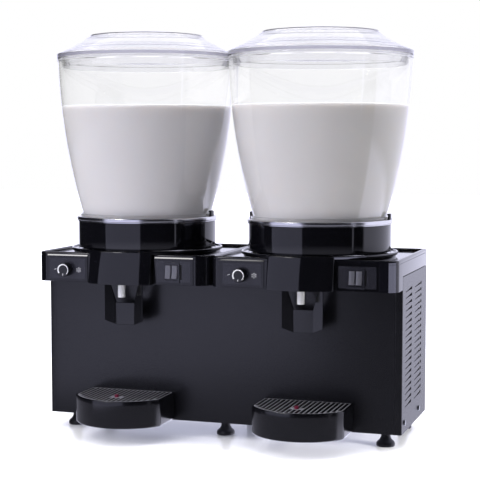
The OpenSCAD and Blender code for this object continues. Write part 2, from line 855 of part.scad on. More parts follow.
module lever(side) {
    ear = [ear_in, ear_in + ear_t];
    color("#1c1c1f") at_module(side) difference() {
        union() {
            block([-pad_w / 2, pad_w / 2], [lever_y, lever_y + lever_t], [pad_z, pad_top]);
            for (s = sides) mirror([s < 0 ? 1 : 0, 0, 0]) {
                lever_wing();
                block(ear, [lever_y - lug_r, lever_y + lug_r], [pod_z + 4, pivot_z]);
                bar_x(lug_r, ear, lever_y, pivot_z);
            }
            block([-ear_in - past, ear_in + past], [lever_y - lever_t, lever_y],
                  [valve_z - web_half_h, valve_z + web_half_h]);
        }
        bar_x(lever_pin_r + running_gap, [-pin_half - past, pin_half + past], lever_y, pivot_z);
    }
}

// Drip tray

// Plan of the tray, drawn in by a margin: a round front between straight sides
module tray_plan(margin) {
    half = tray_w / 2 - margin;
    intersection() {
        translate([0, tray_arc - tray_reach]) circle(tray_arc - margin);
        translate([-half, -tray_reach - past]) square([2 * half, tray_reach + past - seat_gap - margin]);
    }
}

module tray_prism(margin, z) {
    translate([0, 0, z[0]]) linear_extrude(z[1] - z[0]) tray_plan(margin);
}

module drip_tray(side) {
    color("#161618") at_module(side) difference() {
        union() {
            tray_prism(0, [tray_z, tray_top]);
            for (s = sides)
                block([s * hook_x - hook_w / 2, s * hook_x + hook_w / 2], [-tray_t, hook_l],
                      [hook_z, hook_z + hook_t]);
        }
        tray_prism(tray_t + ledge_w, [tray_floor, ledge_z + past]);
        tray_prism(tray_t, [ledge_z, tray_top + past]);
    }
}

module tray_grille(side) {
    count = floor((tray_w / 2 - tray_t - grille_margin) / slot_pitch);
    color("#1d1d20") at_module(side) difference() {
        tray_prism(tray_t + slide_gap, [grille_z, grille_z + grille_t]);
        difference() {
            intersection() {
                tray_prism(tray_t + grille_margin, [grille_z - past, tray_top + past]);
                for (i = [-count : count])
                    block([i * slot_pitch - slot_w / 2, i * slot_pitch + slot_w / 2],
                          [-tray_reach, 0], [grille_z - 2 * past, tray_top + 2 * past]);
            }
            translate([0, -float_reach, 0])
                post(float_stem_r + 3, [grille_z - 3 * past, tray_top + 3 * past]);
        }
        translate([0, -float_reach, 0]) post(float_stem_r + slide_gap, [grille_z - past, tray_top + past]);
    }
}

module tray_float(side) {
    color("firebrick") at_module(side) translate([0, -float_reach, 0]) {
        post(float_r, [float_z, float_z + float_h]);
        post(float_stem_r, [float_z + float_h - eps, float_top]);
    }
}

// Cabinet

// Screws through the side panels and the rear panel, drawn with the given radius
module side_screw_bars(r, x) {
    for (y = side_screws) bar_x(r, x, y, screw_z);
}

module rear_screw_bars(r, y) {
    for (x = rear_screws) bar_y(r, x, y, screw_z);
}

foot_xs = [foot_inset - cabinet_half, 0, cabinet_half - foot_inset];
foot_ys = [foot_depth, cabinet_d - foot_depth];

module base_pan() {
    boss_r = stud_r + 4.5;
    boss_h = 10;
    color("dimgray") in_row() difference() {
        union() {
            difference() {
                block([-inner_half, inner_half], [inner_front, inner_back], [panel_z, panel_z + pan_h]);
                block([sheet_t - inner_half, inner_half - sheet_t],
                      [inner_front + sheet_t, inner_back - sheet_t], [pan_floor, panel_z + pan_h + past]);
            }
            for (x = foot_xs, y = foot_ys)
                translate([x, y, 0]) post(boss_r, [pan_floor - eps, pan_floor + boss_h]);
        }
        for (x = foot_xs, y = foot_ys)
            translate([x, y, 0]) post(stud_r + running_gap, [panel_z - past, pan_floor + boss_h + past]);
        side_screw_bars(screw_hole_r, [-cabinet_half, cabinet_half]);
        rear_screw_bars(screw_hole_r, [cabinet_d / 2, cabinet_d]);
    }
}

module front_panel() {
    color("#26262b") in_row() difference() {
        union() {
            block([-panel_half, panel_half], [0, sheet_t], [panel_z, deck_z]);
            block([-panel_half, panel_half], [0, panel_fold], [deck_z - sheet_t, deck_z]);
        }
        for (m = sides, s = sides)
            block([m * module_half + s * hook_x - hook_w / 2 - slide_gap,
                   m * module_half + s * hook_x + hook_w / 2 + slide_gap],
                  [-past, sheet_t + past], [hook_z - slide_gap, hook_z + hook_t + slide_gap]);
    }
}

// Two columns of louvre slots cut through a side panel; each column is its start and its length
module louvre_slots(x) {
    for (column = [louvre_front, louvre_rear], i = [0 : louvre_rows - 1])
        let (z = panel_z + louvre_low + i * louvre_pitch)
        block(x, [column[0], column[0] + column[1]], [z, z + louvre_slot]);
}

module side_panel(side) {
    wall = [cabinet_half - sheet_t, cabinet_half];
    fold = [fold_in, cabinet_half];
    cut = [cabinet_half - fold_w / 2, cabinet_half + past];
    color("#2a2a2f") in_row() mirror([side < 0 ? 1 : 0, 0, 0]) difference() {
        union() {
            block(wall, [0, cabinet_d], [panel_z, deck_z]);
            block(fold, [0, sheet_t], [panel_z, deck_z]);
            block(fold, [cabinet_d - sheet_t, cabinet_d], [panel_z, deck_z]);
        }
        louvre_slots(cut);
        side_screw_bars(screw_hole_r, cut);
    }
}

module rear_panel() {
    y = [cabinet_d - sheet_t - past, cabinet_d + past];
    color("#2a2a2f") in_row() difference() {
        block([-panel_half, panel_half], [cabinet_d - sheet_t, cabinet_d], [panel_z, deck_z]);
        for (m = sides, i = [0 : vent_rows - 1])
            let (z = panel_z + vent_low + i * vent_pitch)
            block([m * module_half - vent_w / 2, m * module_half + vent_w / 2], y, [z, z + vent_slot]);
        rear_screw_bars(screw_hole_r, y);
        bar_y(inlet_r + running_gap, inlet_x, y, inlet_z);
    }
}

module panel_screws() {
    color("gray") in_row() {
        for (s = sides) mirror([s < 0 ? 1 : 0, 0, 0]) {
            side_screw_bars(screw_r, [cabinet_half - screw_l, cabinet_half + eps]);
            side_screw_bars(screw_head_r, [cabinet_half, cabinet_half + screw_head_h]);
        }
        rear_screw_bars(screw_r, [cabinet_d - screw_l, cabinet_d + eps]);
        rear_screw_bars(screw_head_r, [cabinet_d, cabinet_d + screw_head_h]);
    }
}

module mains_inlet() {
    nut_t = 4;
    hole_r = 4;
    color("#1e1e21") in_row() difference() {
        union() {
            bar_y(inlet_r, inlet_x, [cabinet_d - sheet_t - nut_t - 6, cabinet_d + eps], inlet_z);
            bar_y(inlet_flange_r, inlet_x, [cabinet_d, cabinet_d + inlet_l], inlet_z);
            bar_y(inlet_flange_r, inlet_x, [cabinet_d - sheet_t - nut_t, cabinet_d - sheet_t], inlet_z);
        }
        bar_y(hole_r, inlet_x, [cabinet_d / 2, cabinet_d + inlet_l + past], inlet_z);
    }
}

module foot(column, row) {
    base_h = 4;
    neck_r = stud_r + 2;
    neck_h = foot_h - slide_gap;
    flare = foot_r - neck_r;
    stud_top = pan_floor + stud_rise;
    color("#19191b") in_row() translate([foot_xs[column], foot_ys[row], 0]) rotate_extrude()
        polygon([[0, 0], [foot_r, 0], [foot_r, base_h], [neck_r + 0.85 * flare, base_h + 2.5],
                 [neck_r + 0.35 * flare, base_h + 6], [neck_r + 0.08 * flare, base_h + 10], [neck_r, neck_h],
                 [stud_r, neck_h], [stud_r, stud_top], [0, stud_top]]);
}

// Refrigeration

module compressor() {
    dome_h = 30;
    steps = 8;
    z = pan_floor + base_room;
    top = z + compressor_h;
    mount_r = 8;
    mount_at = compressor_r + 4;
    dome = [for (i = [0 : steps]) let (a = 90 * i / steps)
        [compressor_r * cos(a), top - dome_h + dome_h * sin(a)]];
    color("#141417") in_row() translate([compressor_x, compressor_y, 0]) {
        rotate_extrude() polygon(concat([[0, z], [compressor_r, z]],
            [for (i = [0 : steps - 1]) dome[i]], [[0, top]]));
        block([-mount_at, mount_at], [-compressor_r, compressor_r], [z, z + 3]);
        for (x = sides, y = sides)
            translate([x * (mount_at - mount_r), y * (compressor_r - mount_r), 0])
                post(mount_r, [pan_floor, z + eps]);
    }
}

module condenser() {
    plate = 1.5;
    fin_t = 0.6;
    tube_r = 4;
    rows = 5;
    z = [pan_floor, pan_floor + condenser_h];
    x = [condenser_x, condenser_x + condenser_w];
    pitch = (condenser_back - condenser_front) / (fin_count + 1);
    color("silver") in_row() {
        for (y = [condenser_front, condenser_back - plate]) block(x, [y, y + plate], z);
        for (i = [1 : fin_count])
            let (y = condenser_front + i * pitch)
            block([x[0] + 2, x[1] - 2], [y, y + fin_t], [fin_low, z[1] - fin_margin]);
        for (i = [0 : rows - 1], c = [0.3, 0.7])
            bar_y(tube_r, x[0] + c * condenser_w, [condenser_front - 4, condenser_back + 4],
                  z[0] + 20 + i * (condenser_h - 32) / (rows - 1));
    }
}

module fan_motor() {
    x = [fan_x - fan_motor_l - 4, fan_x - 4];
    bracket_t = 2;
    bracket_w = 40;
    color("dimgray") in_row() {
        bar_x(fan_motor_r, x, fan_y, fan_z);
        bar_x(fan_shaft_r, [x[1] - eps, fan_x + fan_hub_l - 4], fan_y, fan_z);
        block([x[0] - bracket_t, x[0] + eps], [fan_y - bracket_w / 2, fan_y + bracket_w / 2],
              [pan_floor, fan_z + fan_motor_r]);
        block([x[0] - bracket_t, x[0] + bracket_w / 2], [fan_y - bracket_w / 2, fan_y + bracket_w / 2],
              [pan_floor, pan_floor + bracket_t]);
    }
}

module fan_blade() {
    pitch_angle = 28;
    blade_t = 1.6;
    blade_w = 26;
    color("whitesmoke") in_row() translate([fan_x, fan_y, fan_z]) difference() {
        union() {
            bar_x(fan_hub_r, [0, fan_hub_l], 0, 0);
            for (i = [0 : blade_count - 1])
                rotate([i * 360 / blade_count, 0, 0]) translate([fan_hub_l / 2, 0, 0])
                    rotate([0, 0, pitch_angle])
                        block([-blade_t / 2, blade_t / 2], [-blade_w / 2, blade_w / 2],
                              [fan_hub_r / 2, fan_r]);
        }
        bar_x(fan_shaft_r + running_gap, [-past, fan_hub_l - 2], 0, 0);
    }
}

base_pan();
front_panel();
side_panel(left);  // left_side_panel
side_panel(right);  // right_side_panel
rear_panel();
motor_plate();
compressor();
condenser();
fan_motor();
fan_blade();
panel_screws();
mains_inlet();
foot(0, 0);  // front_left_foot
foot(1, 0);  // front_middle_foot
foot(2, 0);  // front_right_foot
foot(0, 1);  // rear_left_foot
foot(1, 1);  // rear_middle_foot
foot(2, 1);  // rear_right_foot
bowl_seals();
drive_motors();
lever_pins();
thermostats();
switch_bodies();
insulation_rings();
cooling_coils();
spouts();
seat_rings();
tap_bodies();
cooling_cups();
deck(left);  // left_deck
collar(left);  // left_collar
bowl(left);  // left_bowl
lid(left);  // left_lid
impeller(left);  // left_impeller
magnet_drive(left);  // left_magnet_drive
tap_valve(left);  // left_tap_valve
tap_spring(left);  // left_tap_spring
lever(left);  // left_lever
knob(left);  // left_knob
rocker(left, left);  // left_mixer_rocker
rocker(left, right);  // left_cooling_rocker
drip_tray(left);  // left_drip_tray
tray_grille(left);  // left_tray_grille
tray_float(left);  // left_tray_float
deck(right);  // right_deck
collar(right);  // right_collar
bowl(right);  // right_bowl
lid(right);  // right_lid
impeller(right);  // right_impeller
magnet_drive(right);  // right_magnet_drive
tap_valve(right);  // right_tap_valve
tap_spring(right);  // right_tap_spring
lever(right);  // right_lever
knob(right);  // right_knob
rocker(right, left);  // right_mixer_rocker
rocker(right, right);  // right_cooling_rocker
drip_tray(right);  // right_drip_tray
tray_grille(right);  // right_tray_grille
tray_float(right);  // right_tray_float
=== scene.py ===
"""Looks of the cold drink dispenser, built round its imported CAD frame.

Sizes are millimetres: X from a module's or the cabinet's middle, Y from the front panel's face
to the back, Z from the floor. row() turns a point into metres in the row's frame.
"""

from math import atan2, cos, hypot, pi, radians, sin, sqrt, tan

import bmesh
import bpy
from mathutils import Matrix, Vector
from mathutils.geometry import delaunay_2d_cdt


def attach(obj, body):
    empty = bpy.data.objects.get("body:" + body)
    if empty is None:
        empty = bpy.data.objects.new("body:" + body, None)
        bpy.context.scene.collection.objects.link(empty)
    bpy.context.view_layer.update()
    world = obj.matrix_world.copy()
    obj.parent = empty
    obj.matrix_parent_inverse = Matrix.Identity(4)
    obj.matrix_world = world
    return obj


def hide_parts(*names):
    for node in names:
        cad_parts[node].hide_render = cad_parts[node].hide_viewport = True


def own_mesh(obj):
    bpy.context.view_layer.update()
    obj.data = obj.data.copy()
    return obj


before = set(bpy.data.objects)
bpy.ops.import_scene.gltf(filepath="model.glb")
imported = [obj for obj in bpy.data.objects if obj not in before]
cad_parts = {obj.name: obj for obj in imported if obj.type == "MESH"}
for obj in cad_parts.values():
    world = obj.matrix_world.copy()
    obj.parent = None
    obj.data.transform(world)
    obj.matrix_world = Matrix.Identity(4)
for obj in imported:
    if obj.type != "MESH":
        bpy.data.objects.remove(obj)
scene = bpy.context.scene
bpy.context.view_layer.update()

# Sizes shared with the CAD part

MM = 0.001
MIDDLE_Y = 49.75
MODULES = {"left": -140.0, "right": 140.0}
MODULE_HALF = 140.0
CABINET_HALF = 280.0
CABINET_D = 195.0
PANEL_Z = 24.0
DECK_Z = 256.0
POD_Z = 236.0
POD_Y = -40.0
FASCIA_Y = -41.0
FLOOR_Z = 277.6
CEILING_Z = 272.5
RIM_Z = 281.5
BOWL_Y = 61.5
PEDESTAL_Z = 286.0
PEDESTAL_R = 118.0
APRON_R = 126.0
APRON_HALF = 50.0
COLLAR_R = 107.5
COLLAR_Z = 327.0
FLANGE_Z = 328.2
SEAT_Z = 334.0
SEAT_R = 110.0
BOWL_Z = 334.3
BOWL_H = 243.0
BOWL_TOP = BOWL_Z + BOWL_H
BOWL_R = 137.5
BOWL_FOOT_R = 99.5
BOWL_SWELL = 8.2
BOWL_T = 3.0
LID_Z = 577.6
LID_R = 139.0
LID_T = 2.5
DRINK_Z = 504.5
WALL_T = 3.0

# Mesh helpers

SHARP_CORNER = radians(40)
QUARTER_TURN = [radians(18 * k) for k in range(6)]
MOULDED_EDGE = 0.4


def row(point):
    """A point in millimetres as metres in the row's frame."""
    return (point[0] * MM, (point[1] - MIDDLE_Y) * MM, point[2] * MM)


def fillet(corners, steps=4, closed=True):
    """Rounds the corners of a flat outline; each corner is (u, v, radius)."""
    points = []
    count = len(corners)
    for i, (u, v, radius) in enumerate(corners):
        here = Vector((u, v))
        if radius <= 0 or (not closed and i in (0, count - 1)):
            points.append((u, v))
            continue
        back = (Vector(corners[i - 1][:2]) - here).normalized()
        ahead = (Vector(corners[(i + 1) % count][:2]) - here).normalized()
        half = back.angle(ahead) / 2
        centre = here + (back + ahead).normalized() * (radius / sin(half))
        start = here + back * (radius / tan(half)) - centre
        stop = here + ahead * (radius / tan(half)) - centre
        for k in range(steps + 1):
            spoke = start.lerp(stop, k / steps).normalized() * radius
            points.append(tuple(centre + spoke))
    return points


def on_axis(axis, u, v, w):
    """A point w along an axis, u and v across it in X, Y, Z order."""
    if axis == "x":
        return (w, u, v)
    if axis == "y":
        return (u, w, v)
    return (u, v, w)


def loft(rings, closed=True, caps=(True, True)):
    """Skin over rings that all have the same number of points."""
    count = len(rings[0])
    points = [point for ring in rings for point in ring]
    faces = []
    for i in range(len(rings) - 1):
        for k in range(count if closed else count - 1):
            here = i * count + k
            ahead = i * count + (k + 1) % count
            faces.append((here, ahead, ahead + count, here + count))
    if caps[0]:
        faces.append(tuple(range(count)))
    if caps[1]:
        faces.append(tuple(range(len(points) - count, len(points))))
    return points, faces


def revolve(profile, centre, axis="z", steps=96):
    """Turns a closed outline of (radius, place along the axis) points about that axis."""
    rings = []
    for i in range(steps + 1):
        turn = 2 * pi * i / steps
        rings.append([on_axis(axis, centre[0] + radius * cos(turn), centre[1] + radius * sin(turn), along)
                      for radius, along in profile])
    return loft(rings, caps=(False, False))


def on_bowl(profile, x):
    """A closed outline turned in fine steps about the upright axis of a module's bowl."""
    return revolve(profile, (x, BOWL_Y), steps=160)


def shell_of(work):
    """Points and faces of a working mesh, which is then freed."""
    work.verts.index_update()
    points = [tuple(vertex.co) for vertex in work.verts]
    faces = [tuple(vertex.index for vertex in face.verts) for face in work.faces]
    work.free()
    return points, faces


def round_rims(work, edge, steps):
    """Rounds every edge that turns a sharp corner."""
    bmesh.ops.recalc_face_normals(work, faces=work.faces)
    sharp = [rim for rim in work.edges if len(rim.link_faces) == 2 and rim.calc_face_angle() > SHARP_CORNER]
    bmesh.ops.bevel(work, geom=sharp, offset=edge, segments=steps, profile=0.5, affect="EDGES",
                    clamp_overlap=True)


def add_plate(work, layers, cells):
    """Faces of a plate between two layers of points: both sides, and walls along the open edges."""
    uses = {}
    for cell in cells:
        for layer in layers:
            work.faces.new([layer[k] for k in cell])
        for k in range(len(cell)):
            side = (cell[k], cell[(k + 1) % len(cell)])
            uses.setdefault(frozenset(side), []).append(side)
    for sides in uses.values():
        if len(sides) == 1:
            a, b = sides[0]
            work.faces.new((layers[0][a], layers[0][b], layers[1][b], layers[1][a]))


def soft_prism(outline, span, edge, axis="z", steps=2):
    """A flat outline drawn along an axis, with its sharp edges rounded."""
    work = bmesh.new()
    layers = [[work.verts.new(on_axis(axis, u, v, w)) for u, v in outline] for w in span]
    add_plate(work, layers, [range(len(outline))])
    round_rims(work, edge, steps)
    return shell_of(work)


def soft_block(x, y, z, edge, steps=2):
    """A block between limits along each axis, with rounded edges."""
    return soft_prism([(x[0], y[0]), (x[1], y[0]), (x[1], y[1]), (x[0], y[1])], z, edge, "z", steps)


# Kind of triangulation that leaves the holes open
CUT_OUT_HOLES = 5


def pierced_plate(outline, holes, span, edge, axis="z"):
    """A flat plate with holes through it, its rims rounded."""
    flat = []
    loops = []
    for loop in [outline] + holes:
        loops.append(range(len(flat), len(flat) + len(loop)))
        flat += [Vector(point) for point in loop]
    spots, _, cells, _, _, _ = delaunay_2d_cdt(flat, [], loops, CUT_OUT_HOLES, 1e-6)
    work = bmesh.new()
    layers = [[work.verts.new(on_axis(axis, u, v, w)) for u, v in spots] for w in span]
    add_plate(work, layers, cells)
    if edge:
        round_rims(work, edge, 1)
    return shell_of(work)


def shifted(part, x):
    """The same part moved sideways."""
    points, faces = part
    return [(px + x, py, pz) for px, py, pz in points], faces


def mirrored(part):
    """The same part as seen in a mirror across the middle."""
    points, faces = part
    return [(-px, py, pz) for px, py, pz in points], [face[::-1] for face in faces]


def add_piece(name, parts, material, body, replaces=(), crease=38):
    """Makes one object of the given parts and hangs it on a CAD body."""
    points = []
    faces = []
    for part_points, part_faces in parts:
        first = len(points)
        points += [row(point) for point in part_points]
        faces += [tuple(first + k for k in face) for face in part_faces]
    mesh = bpy.data.meshes.new(name)
    mesh.from_pydata(points, [], faces)
    work = bmesh.new()
    work.from_mesh(mesh)
    bmesh.ops.remove_doubles(work, verts=work.verts, dist=MM * 0.002)
    bmesh.ops.recalc_face_normals(work, faces=work.faces)
    work.to_mesh(mesh)
    work.free()
    mesh.shade_smooth()
    mesh.set_sharp_from_angle(angle=radians(crease))
    mesh.materials.append(material)
    piece = bpy.data.objects.new(name, mesh)
    scene.collection.objects.link(piece)
    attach(piece, body)
    if replaces:
        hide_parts(*replaces)
    return piece


# Materials


def linear(code):
    """Linear colour of an sRGB hex code."""
    shares = [int(code[k:k + 2], 16) / 255 for k in (1, 3, 5)]
    light = [share / 12.92 if share <= 0.04045 else ((share + 0.055) / 1.055) ** 2.4 for share in shares]
    return light + [1.0]


def add_node(tree, kind, values=None):
    """Adds a shader node; values that are nodes or sockets are linked, the others are set."""
    made = tree.nodes.new(f"ShaderNode{kind}")
    for key, value in (values or {}).items():
        if isinstance(value, bpy.types.Node):
            value = value.outputs[0]
        if isinstance(value, bpy.types.NodeSocket):
            tree.links.new(value, made.inputs[key])
        elif isinstance(key, int) or key in made.inputs:
            made.inputs[key].default_value = value
        else:
            setattr(made, key, value)
    return made


def surface(name, colour, rough, grain_mm, spread, relief_mm=0.0, metal=0.0, ior=1.5, stretch=(1, 1, 1)):
    """A material whose shade, gloss and relief vary by a pattern of the given grain."""
    material = bpy.data.materials.new(name)
    material.use_nodes = True
    tree = material.node_tree
    shader = tree.nodes["Principled BSDF"]
    shader.inputs["Metallic"].default_value = metal
    shader.inputs["IOR"].default_value = ior
    place = add_node(tree, "TexCoord")
    scaled = add_node(tree, "VectorMath", {"operation": "MULTIPLY", 0: place.outputs["Object"], 1: stretch})
    grain = add_node(tree, "TexNoise", {"Scale": 1 / (grain_mm * MM), "Detail": 3.0, "Vector": scaled})
    shade = add_node(tree, "MapRange", {"To Min": 1 - spread, "To Max": 1 + spread, "Value": grain})
    tint = add_node(tree, "HueSaturation", {"Color": linear(colour), "Value": shade})
    gloss = add_node(tree, "MapRange", {"To Min": rough * 0.8, "To Max": rough * 1.2, "Value": grain})
    tree.links.new(tint.outputs["Color"], shader.inputs["Base Color"])
    tree.links.new(gloss.outputs["Result"], shader.inputs["Roughness"])
    if relief_mm:
        bump = add_node(tree, "Bump", {"Distance": relief_mm * MM, "Height": grain})
        tree.links.new(bump.outputs["Normal"], shader.inputs["Normal"])
    return material


def paint_light_on_top(material, shade):
    """Paints light on faces that look up: they keep the material's own colour, and the others get a darker
    painted shade.
    """
    tree = material.node_tree
    colour = tree.nodes["Principled BSDF"].inputs["Base Color"]
    shape = add_node(tree, "NewGeometry")
    upward = add_node(tree, "SeparateXYZ", {0: shape.outputs["Normal"]})
    painted_light_share = add_node(tree, "MapRange", {"From Min": 0.5, "From Max": 0.9, "Value": upward.outputs["Z"]})
    # Painted light: up-facing faces keep the pale colour, the rest take the painted dark shade
    both = add_node(tree, "Mix", {"data_type": "RGBA", 0: painted_light_share, 6: linear(shade),
                                  7: colour.links[0].from_socket})
    tree.links.new(both.outputs[2], colour)


def clear_plastic(name, colour, rough, ripple_mm, relief_mm):
    """A clear moulding that refracts; shadow and soft light pass straight through it."""
    material = surface(name, colour, rough, ripple_mm, 0.01, relief_mm, ior=1.585)
    tree = material.node_tree
    shader = tree.nodes["Principled BSDF"]
    shader.inputs["Transmission Weight"].default_value = 1.0
    path = add_node(tree, "LightPath")
    soft = add_node(tree, "Math", {"operation": "MAXIMUM", 0: path.outputs["Is Shadow Ray"],
                                   1: path.outputs["Is Diffuse Ray"]})
    through = add_node(tree, "BsdfTransparent", {"Color": linear("#f2f3f6")})
    mix = add_node(tree, "MixShader", {0: soft, 1: shader, 2: through})
    tree.links.new(mix.outputs["Shader"], tree.nodes["Material Output"].inputs["Surface"])
    return material


# Satin black powder coat: blurs the reflected light into a soft blue-grey sheen
powder_coat = surface("powder_coated_steel_sheet", "#0c0c11", 0.27, 0.6, 0.10, 0.006)
# Polished black moulding: mirror-like, nearly black where nothing bright is reflected
gloss_black = surface("polished_black_abs_moulding", "#0a0a0e", 0.06, 30.0, 0.10)
# Eroded black moulding: fine grain that spreads highlights
matt_black = surface("spark_eroded_black_moulding", "#0e0e12", 0.38, 0.35, 0.15, 0.012)
# Satin black moulding of the trays and levers: dim, soft-edged reflections
satin_black = surface("satin_black_abs_moulding", "#0b0b0f", 0.16, 0.5, 0.12, 0.004)
# Black bars of the grilles with painted light: grey on faces that look up and a darker painted shade on
# their sides, so that they stand out from their own shadow
grille_painted_top_light = surface("black_moulding_painted_top_light", "#96969e", 0.35, 0.4, 0.15, 0.01)
paint_light_on_top(grille_painted_top_light, "#0e0e11")
# Dull black for the painted shadow strips beside the switches: swallows nearly all light
shadow_black = surface("painted_shadow_black", "#050506", 0.9, 0.6, 0.1, 0.01)
# Printed film on the fascia: a little lighter and flatter than the moulding round it
label_film = surface("satin_black_label_film", "#1a1a22", 0.26, 0.5, 0.08, 0.004)
# Smooth dark grey rockers: catch a pale sheen
rocker_grey = surface("moulded_grey_nylon", "#5a5a62", 0.22, 1.5, 0.08)
# White screen print on the controls: flat and bright, without shine
white_print = surface("white_screen_print", "#e4e4e6", 0.5, 0.4, 0.05)
# Clear bowls: faint ripples and a cool cast
clear_bowl = clear_plastic("moulded_clear_polycarbonate", "#fefeff", 0.015, 45.0, 0.02)
# Clear lids: the same plastic, a little greyer where it is seen edge on
clear_lid = clear_plastic("moulded_smoke_tinted_polycarbonate", "#f5f5f8", 0.015, 45.0, 0.02)
# Edges of the lids: frosted, pale lilac bands, a painted shade for the rims' edges, which light turned back
# inside the plastic makes grey
frosted_edge_shade = clear_plastic("frosted_clear_polycarbonate", "#dcdaea", 0.35, 3.0, 0.01)
# Polished stainless: bright bands that run round the ring
stainless = surface("polished_stainless_sheet", "#d2d2d4", 0.18, 4.0, 0.05, 0.002, metal=1.0,
                    stretch=(0.05, 0.05, 6.0))
# Milky drink: light soaks in and comes out softly, so the shaded side stays pale
drink = surface("milky_drink", "#d6d3d0", 0.5, 40.0, 0.02)
milk = drink.node_tree.nodes["Principled BSDF"]
milk.inputs["Subsurface Weight"].default_value = 1.0
milk.inputs["Subsurface Radius"].default_value = (14 * MM, 13 * MM, 12 * MM)
milk.inputs["Subsurface Scale"].default_value = 1.0
milk.inputs["Specular IOR Level"].default_value = 0.0
# Pale spout moulding: smooth, with one soft highlight down its side
spout_pale = surface("moulded_pale_acetal", "#d4d4d6", 0.25, 6.0, 0.04)
# Dark red float: a glossy spot of colour in the grille
float_red = surface("moulded_red_polypropylene", "#6e1030", 0.3, 5.0, 0.08)
# Zinc plate on the hidden steel parts: a cloudy silver sheen
zinc = surface("zinc_plated_steel_sheet", "#a9acb0", 0.34, 3.0, 0.08, 0.004, metal=1.0)
# Enamel on the compressor and the motors: black with broad, smooth highlights
enamel = surface("black_enamelled_steel_pressing", "#121214", 0.28, 8.0, 0.1)
# Condenser fins: pale metal with a satin sheen
fins = surface("rolled_aluminium_fin_stock", "#b8bbbf", 0.3, 2.0, 0.06, metal=1.0)
# Evaporator tube: warm orange metal
copper = surface("drawn_copper_tube", "#c0805a", 0.25, 3.0, 0.1, metal=1.0)
# Impellers and fan: an even white with soft highlights
white_plastic = surface("moulded_white_polypropylene", "#dcdcda", 0.4, 4.0, 0.04)
# Foam under the cup: dull cream, pitted by its cells
foam = surface("cut_closed_cell_foam", "#d8d0b4", 0.8, 1.2, 0.12, 0.15)
# Seal round the bowl's spigot: dull dark grey
rubber = surface("moulded_silicone_rubber", "#3a3a3c", 0.6, 0.8, 0.1, 0.01)

# Bowls, lids and drink


def bowl_radius(z):
    """Outer radius of a bowl at a height: an arc through foot and rim that swells outwards."""
    rise = BOWL_R - BOWL_FOOT_R
    chord = hypot(rise, BOWL_H)
    arc = ((chord / 2) ** 2 + BOWL_SWELL ** 2) / (2 * BOWL_SWELL)
    middle_r = (BOWL_R + BOWL_FOOT_R) / 2 - (arc - BOWL_SWELL) * BOWL_H / chord
    middle_z = BOWL_Z + BOWL_H / 2 + (arc - BOWL_SWELL) * rise / chord
    return middle_r + sqrt(arc ** 2 - (z - middle_z) ** 2)


def heights(low, high, count):
    """Evenly spaced heights from low to high."""
    return [low + (high - low) * k / count for k in range(count + 1)]


SPIGOT_Z = BOWL_Z - 4.6
SPIGOT_R = 96.2
SPIGOT_IN = 93.2
FOOT_TOP = BOWL_Z + 3.8
FOOT_FLANGE_R = 104.0
LID_TOP_R = 87.0
LID_TOP_H = 36.0
DOME_R = 84.5
DOME_H = 5.5
SKIRT_R = 130.9
SKIRT_H = 14.0


def bowl_profile():
    bead_z = BOWL_TOP - 4
    foot = fillet([(SPIGOT_IN, SPIGOT_Z, 0.6), (SPIGOT_R, SPIGOT_Z, 0.6), (SPIGOT_R, BOWL_Z, 0),
                   (FOOT_FLANGE_R, BOWL_Z, 0.8), (FOOT_FLANGE_R, FOOT_TOP, 0.8),
                   (bowl_radius(FOOT_TOP), FOOT_TOP, 0)], closed=False)
    outer = [(bowl_radius(z), z) for z in heights(FOOT_TOP + 1, bead_z - 1, 40)]
    bead_r = bowl_radius(bead_z)
    rim = fillet([(bead_r, bead_z - 1, 0), (BOWL_R + 1, bead_z, 0.5), (BOWL_R + 1, BOWL_TOP, 0.8),
                  (BOWL_R - BOWL_T, BOWL_TOP, 0.8), (bead_r - BOWL_T, bead_z - 1, 0)], closed=False)
    inner = [(bowl_radius(z) - BOWL_T, z) for z in reversed(heights(FOOT_TOP + 1, bead_z - 2, 40))]
    return foot + outer + rim + inner


def lid_profile():
    top = LID_Z + LID_TOP_H
    dome = [(DOME_R * (1 - k / 10), top + DOME_H * (1 - (1 - k / 10) ** 2)) for k in range(11)]
    outside = fillet([(LID_R, LID_Z, 0.5), (LID_R, LID_Z + 6, 1.2), (LID_R - 4.5, LID_Z + 8, 1.5),
                      (LID_TOP_R, top - 2, 1.0), (LID_TOP_R, top, 0.8), dome[0] + (0,)], closed=False)
    skirt_in = SKIRT_R - LID_T
    skirt_z = LID_Z - SKIRT_H
    inside = fillet([(DOME_R - LID_T, top - LID_T, 0), (DOME_R, top - 2 * LID_T, 1.0),
                     (skirt_in, LID_Z + 5.5, 1.0), (skirt_in, skirt_z, 0.6), (SKIRT_R, skirt_z, 0.6),
                     (SKIRT_R, LID_Z, 0), (LID_R, LID_Z, 0)], closed=False)
    under = [(r if k else DOME_R - LID_T, z - LID_T) for k, (r, z) in enumerate(dome)]
    return outside + dome[1:] + under[::-1][:-1] + inside


def drink_profile():
    """The drink reaches a little into the bowl's wall and climbs it at the edge."""
    overlap = 0.1
    side = [(bowl_radius(z) - BOWL_T + overlap, z) for z in heights(FOOT_TOP + 1, DRINK_Z, 40)]
    edge_r = side[-1][0]
    level = DRINK_Z - 1.4
    return ([(0, SPIGOT_Z), (SPIGOT_IN + overlap, SPIGOT_Z)] + side
            + [(edge_r - 1.5, DRINK_Z - 0.9), (edge_r - 5, level), (0, level)])


def lid_edges(x):
    """Thin frosted bands round the lid's rim and round its raised top: a painted lilac-grey shade on these
    edges.
    """
    top = LID_Z + LID_TOP_H
    bands = []
    for edge_r, low, high in ((LID_R, LID_Z + 0.6, LID_Z + 5.2), (LID_TOP_R, top - 1.8, top - 0.6)):
        outer = edge_r - 0.05
        inner = outer - 0.5
        bands.append(on_bowl([(inner, low), (outer, low), (outer, high), (inner, high)], x))
    return bands


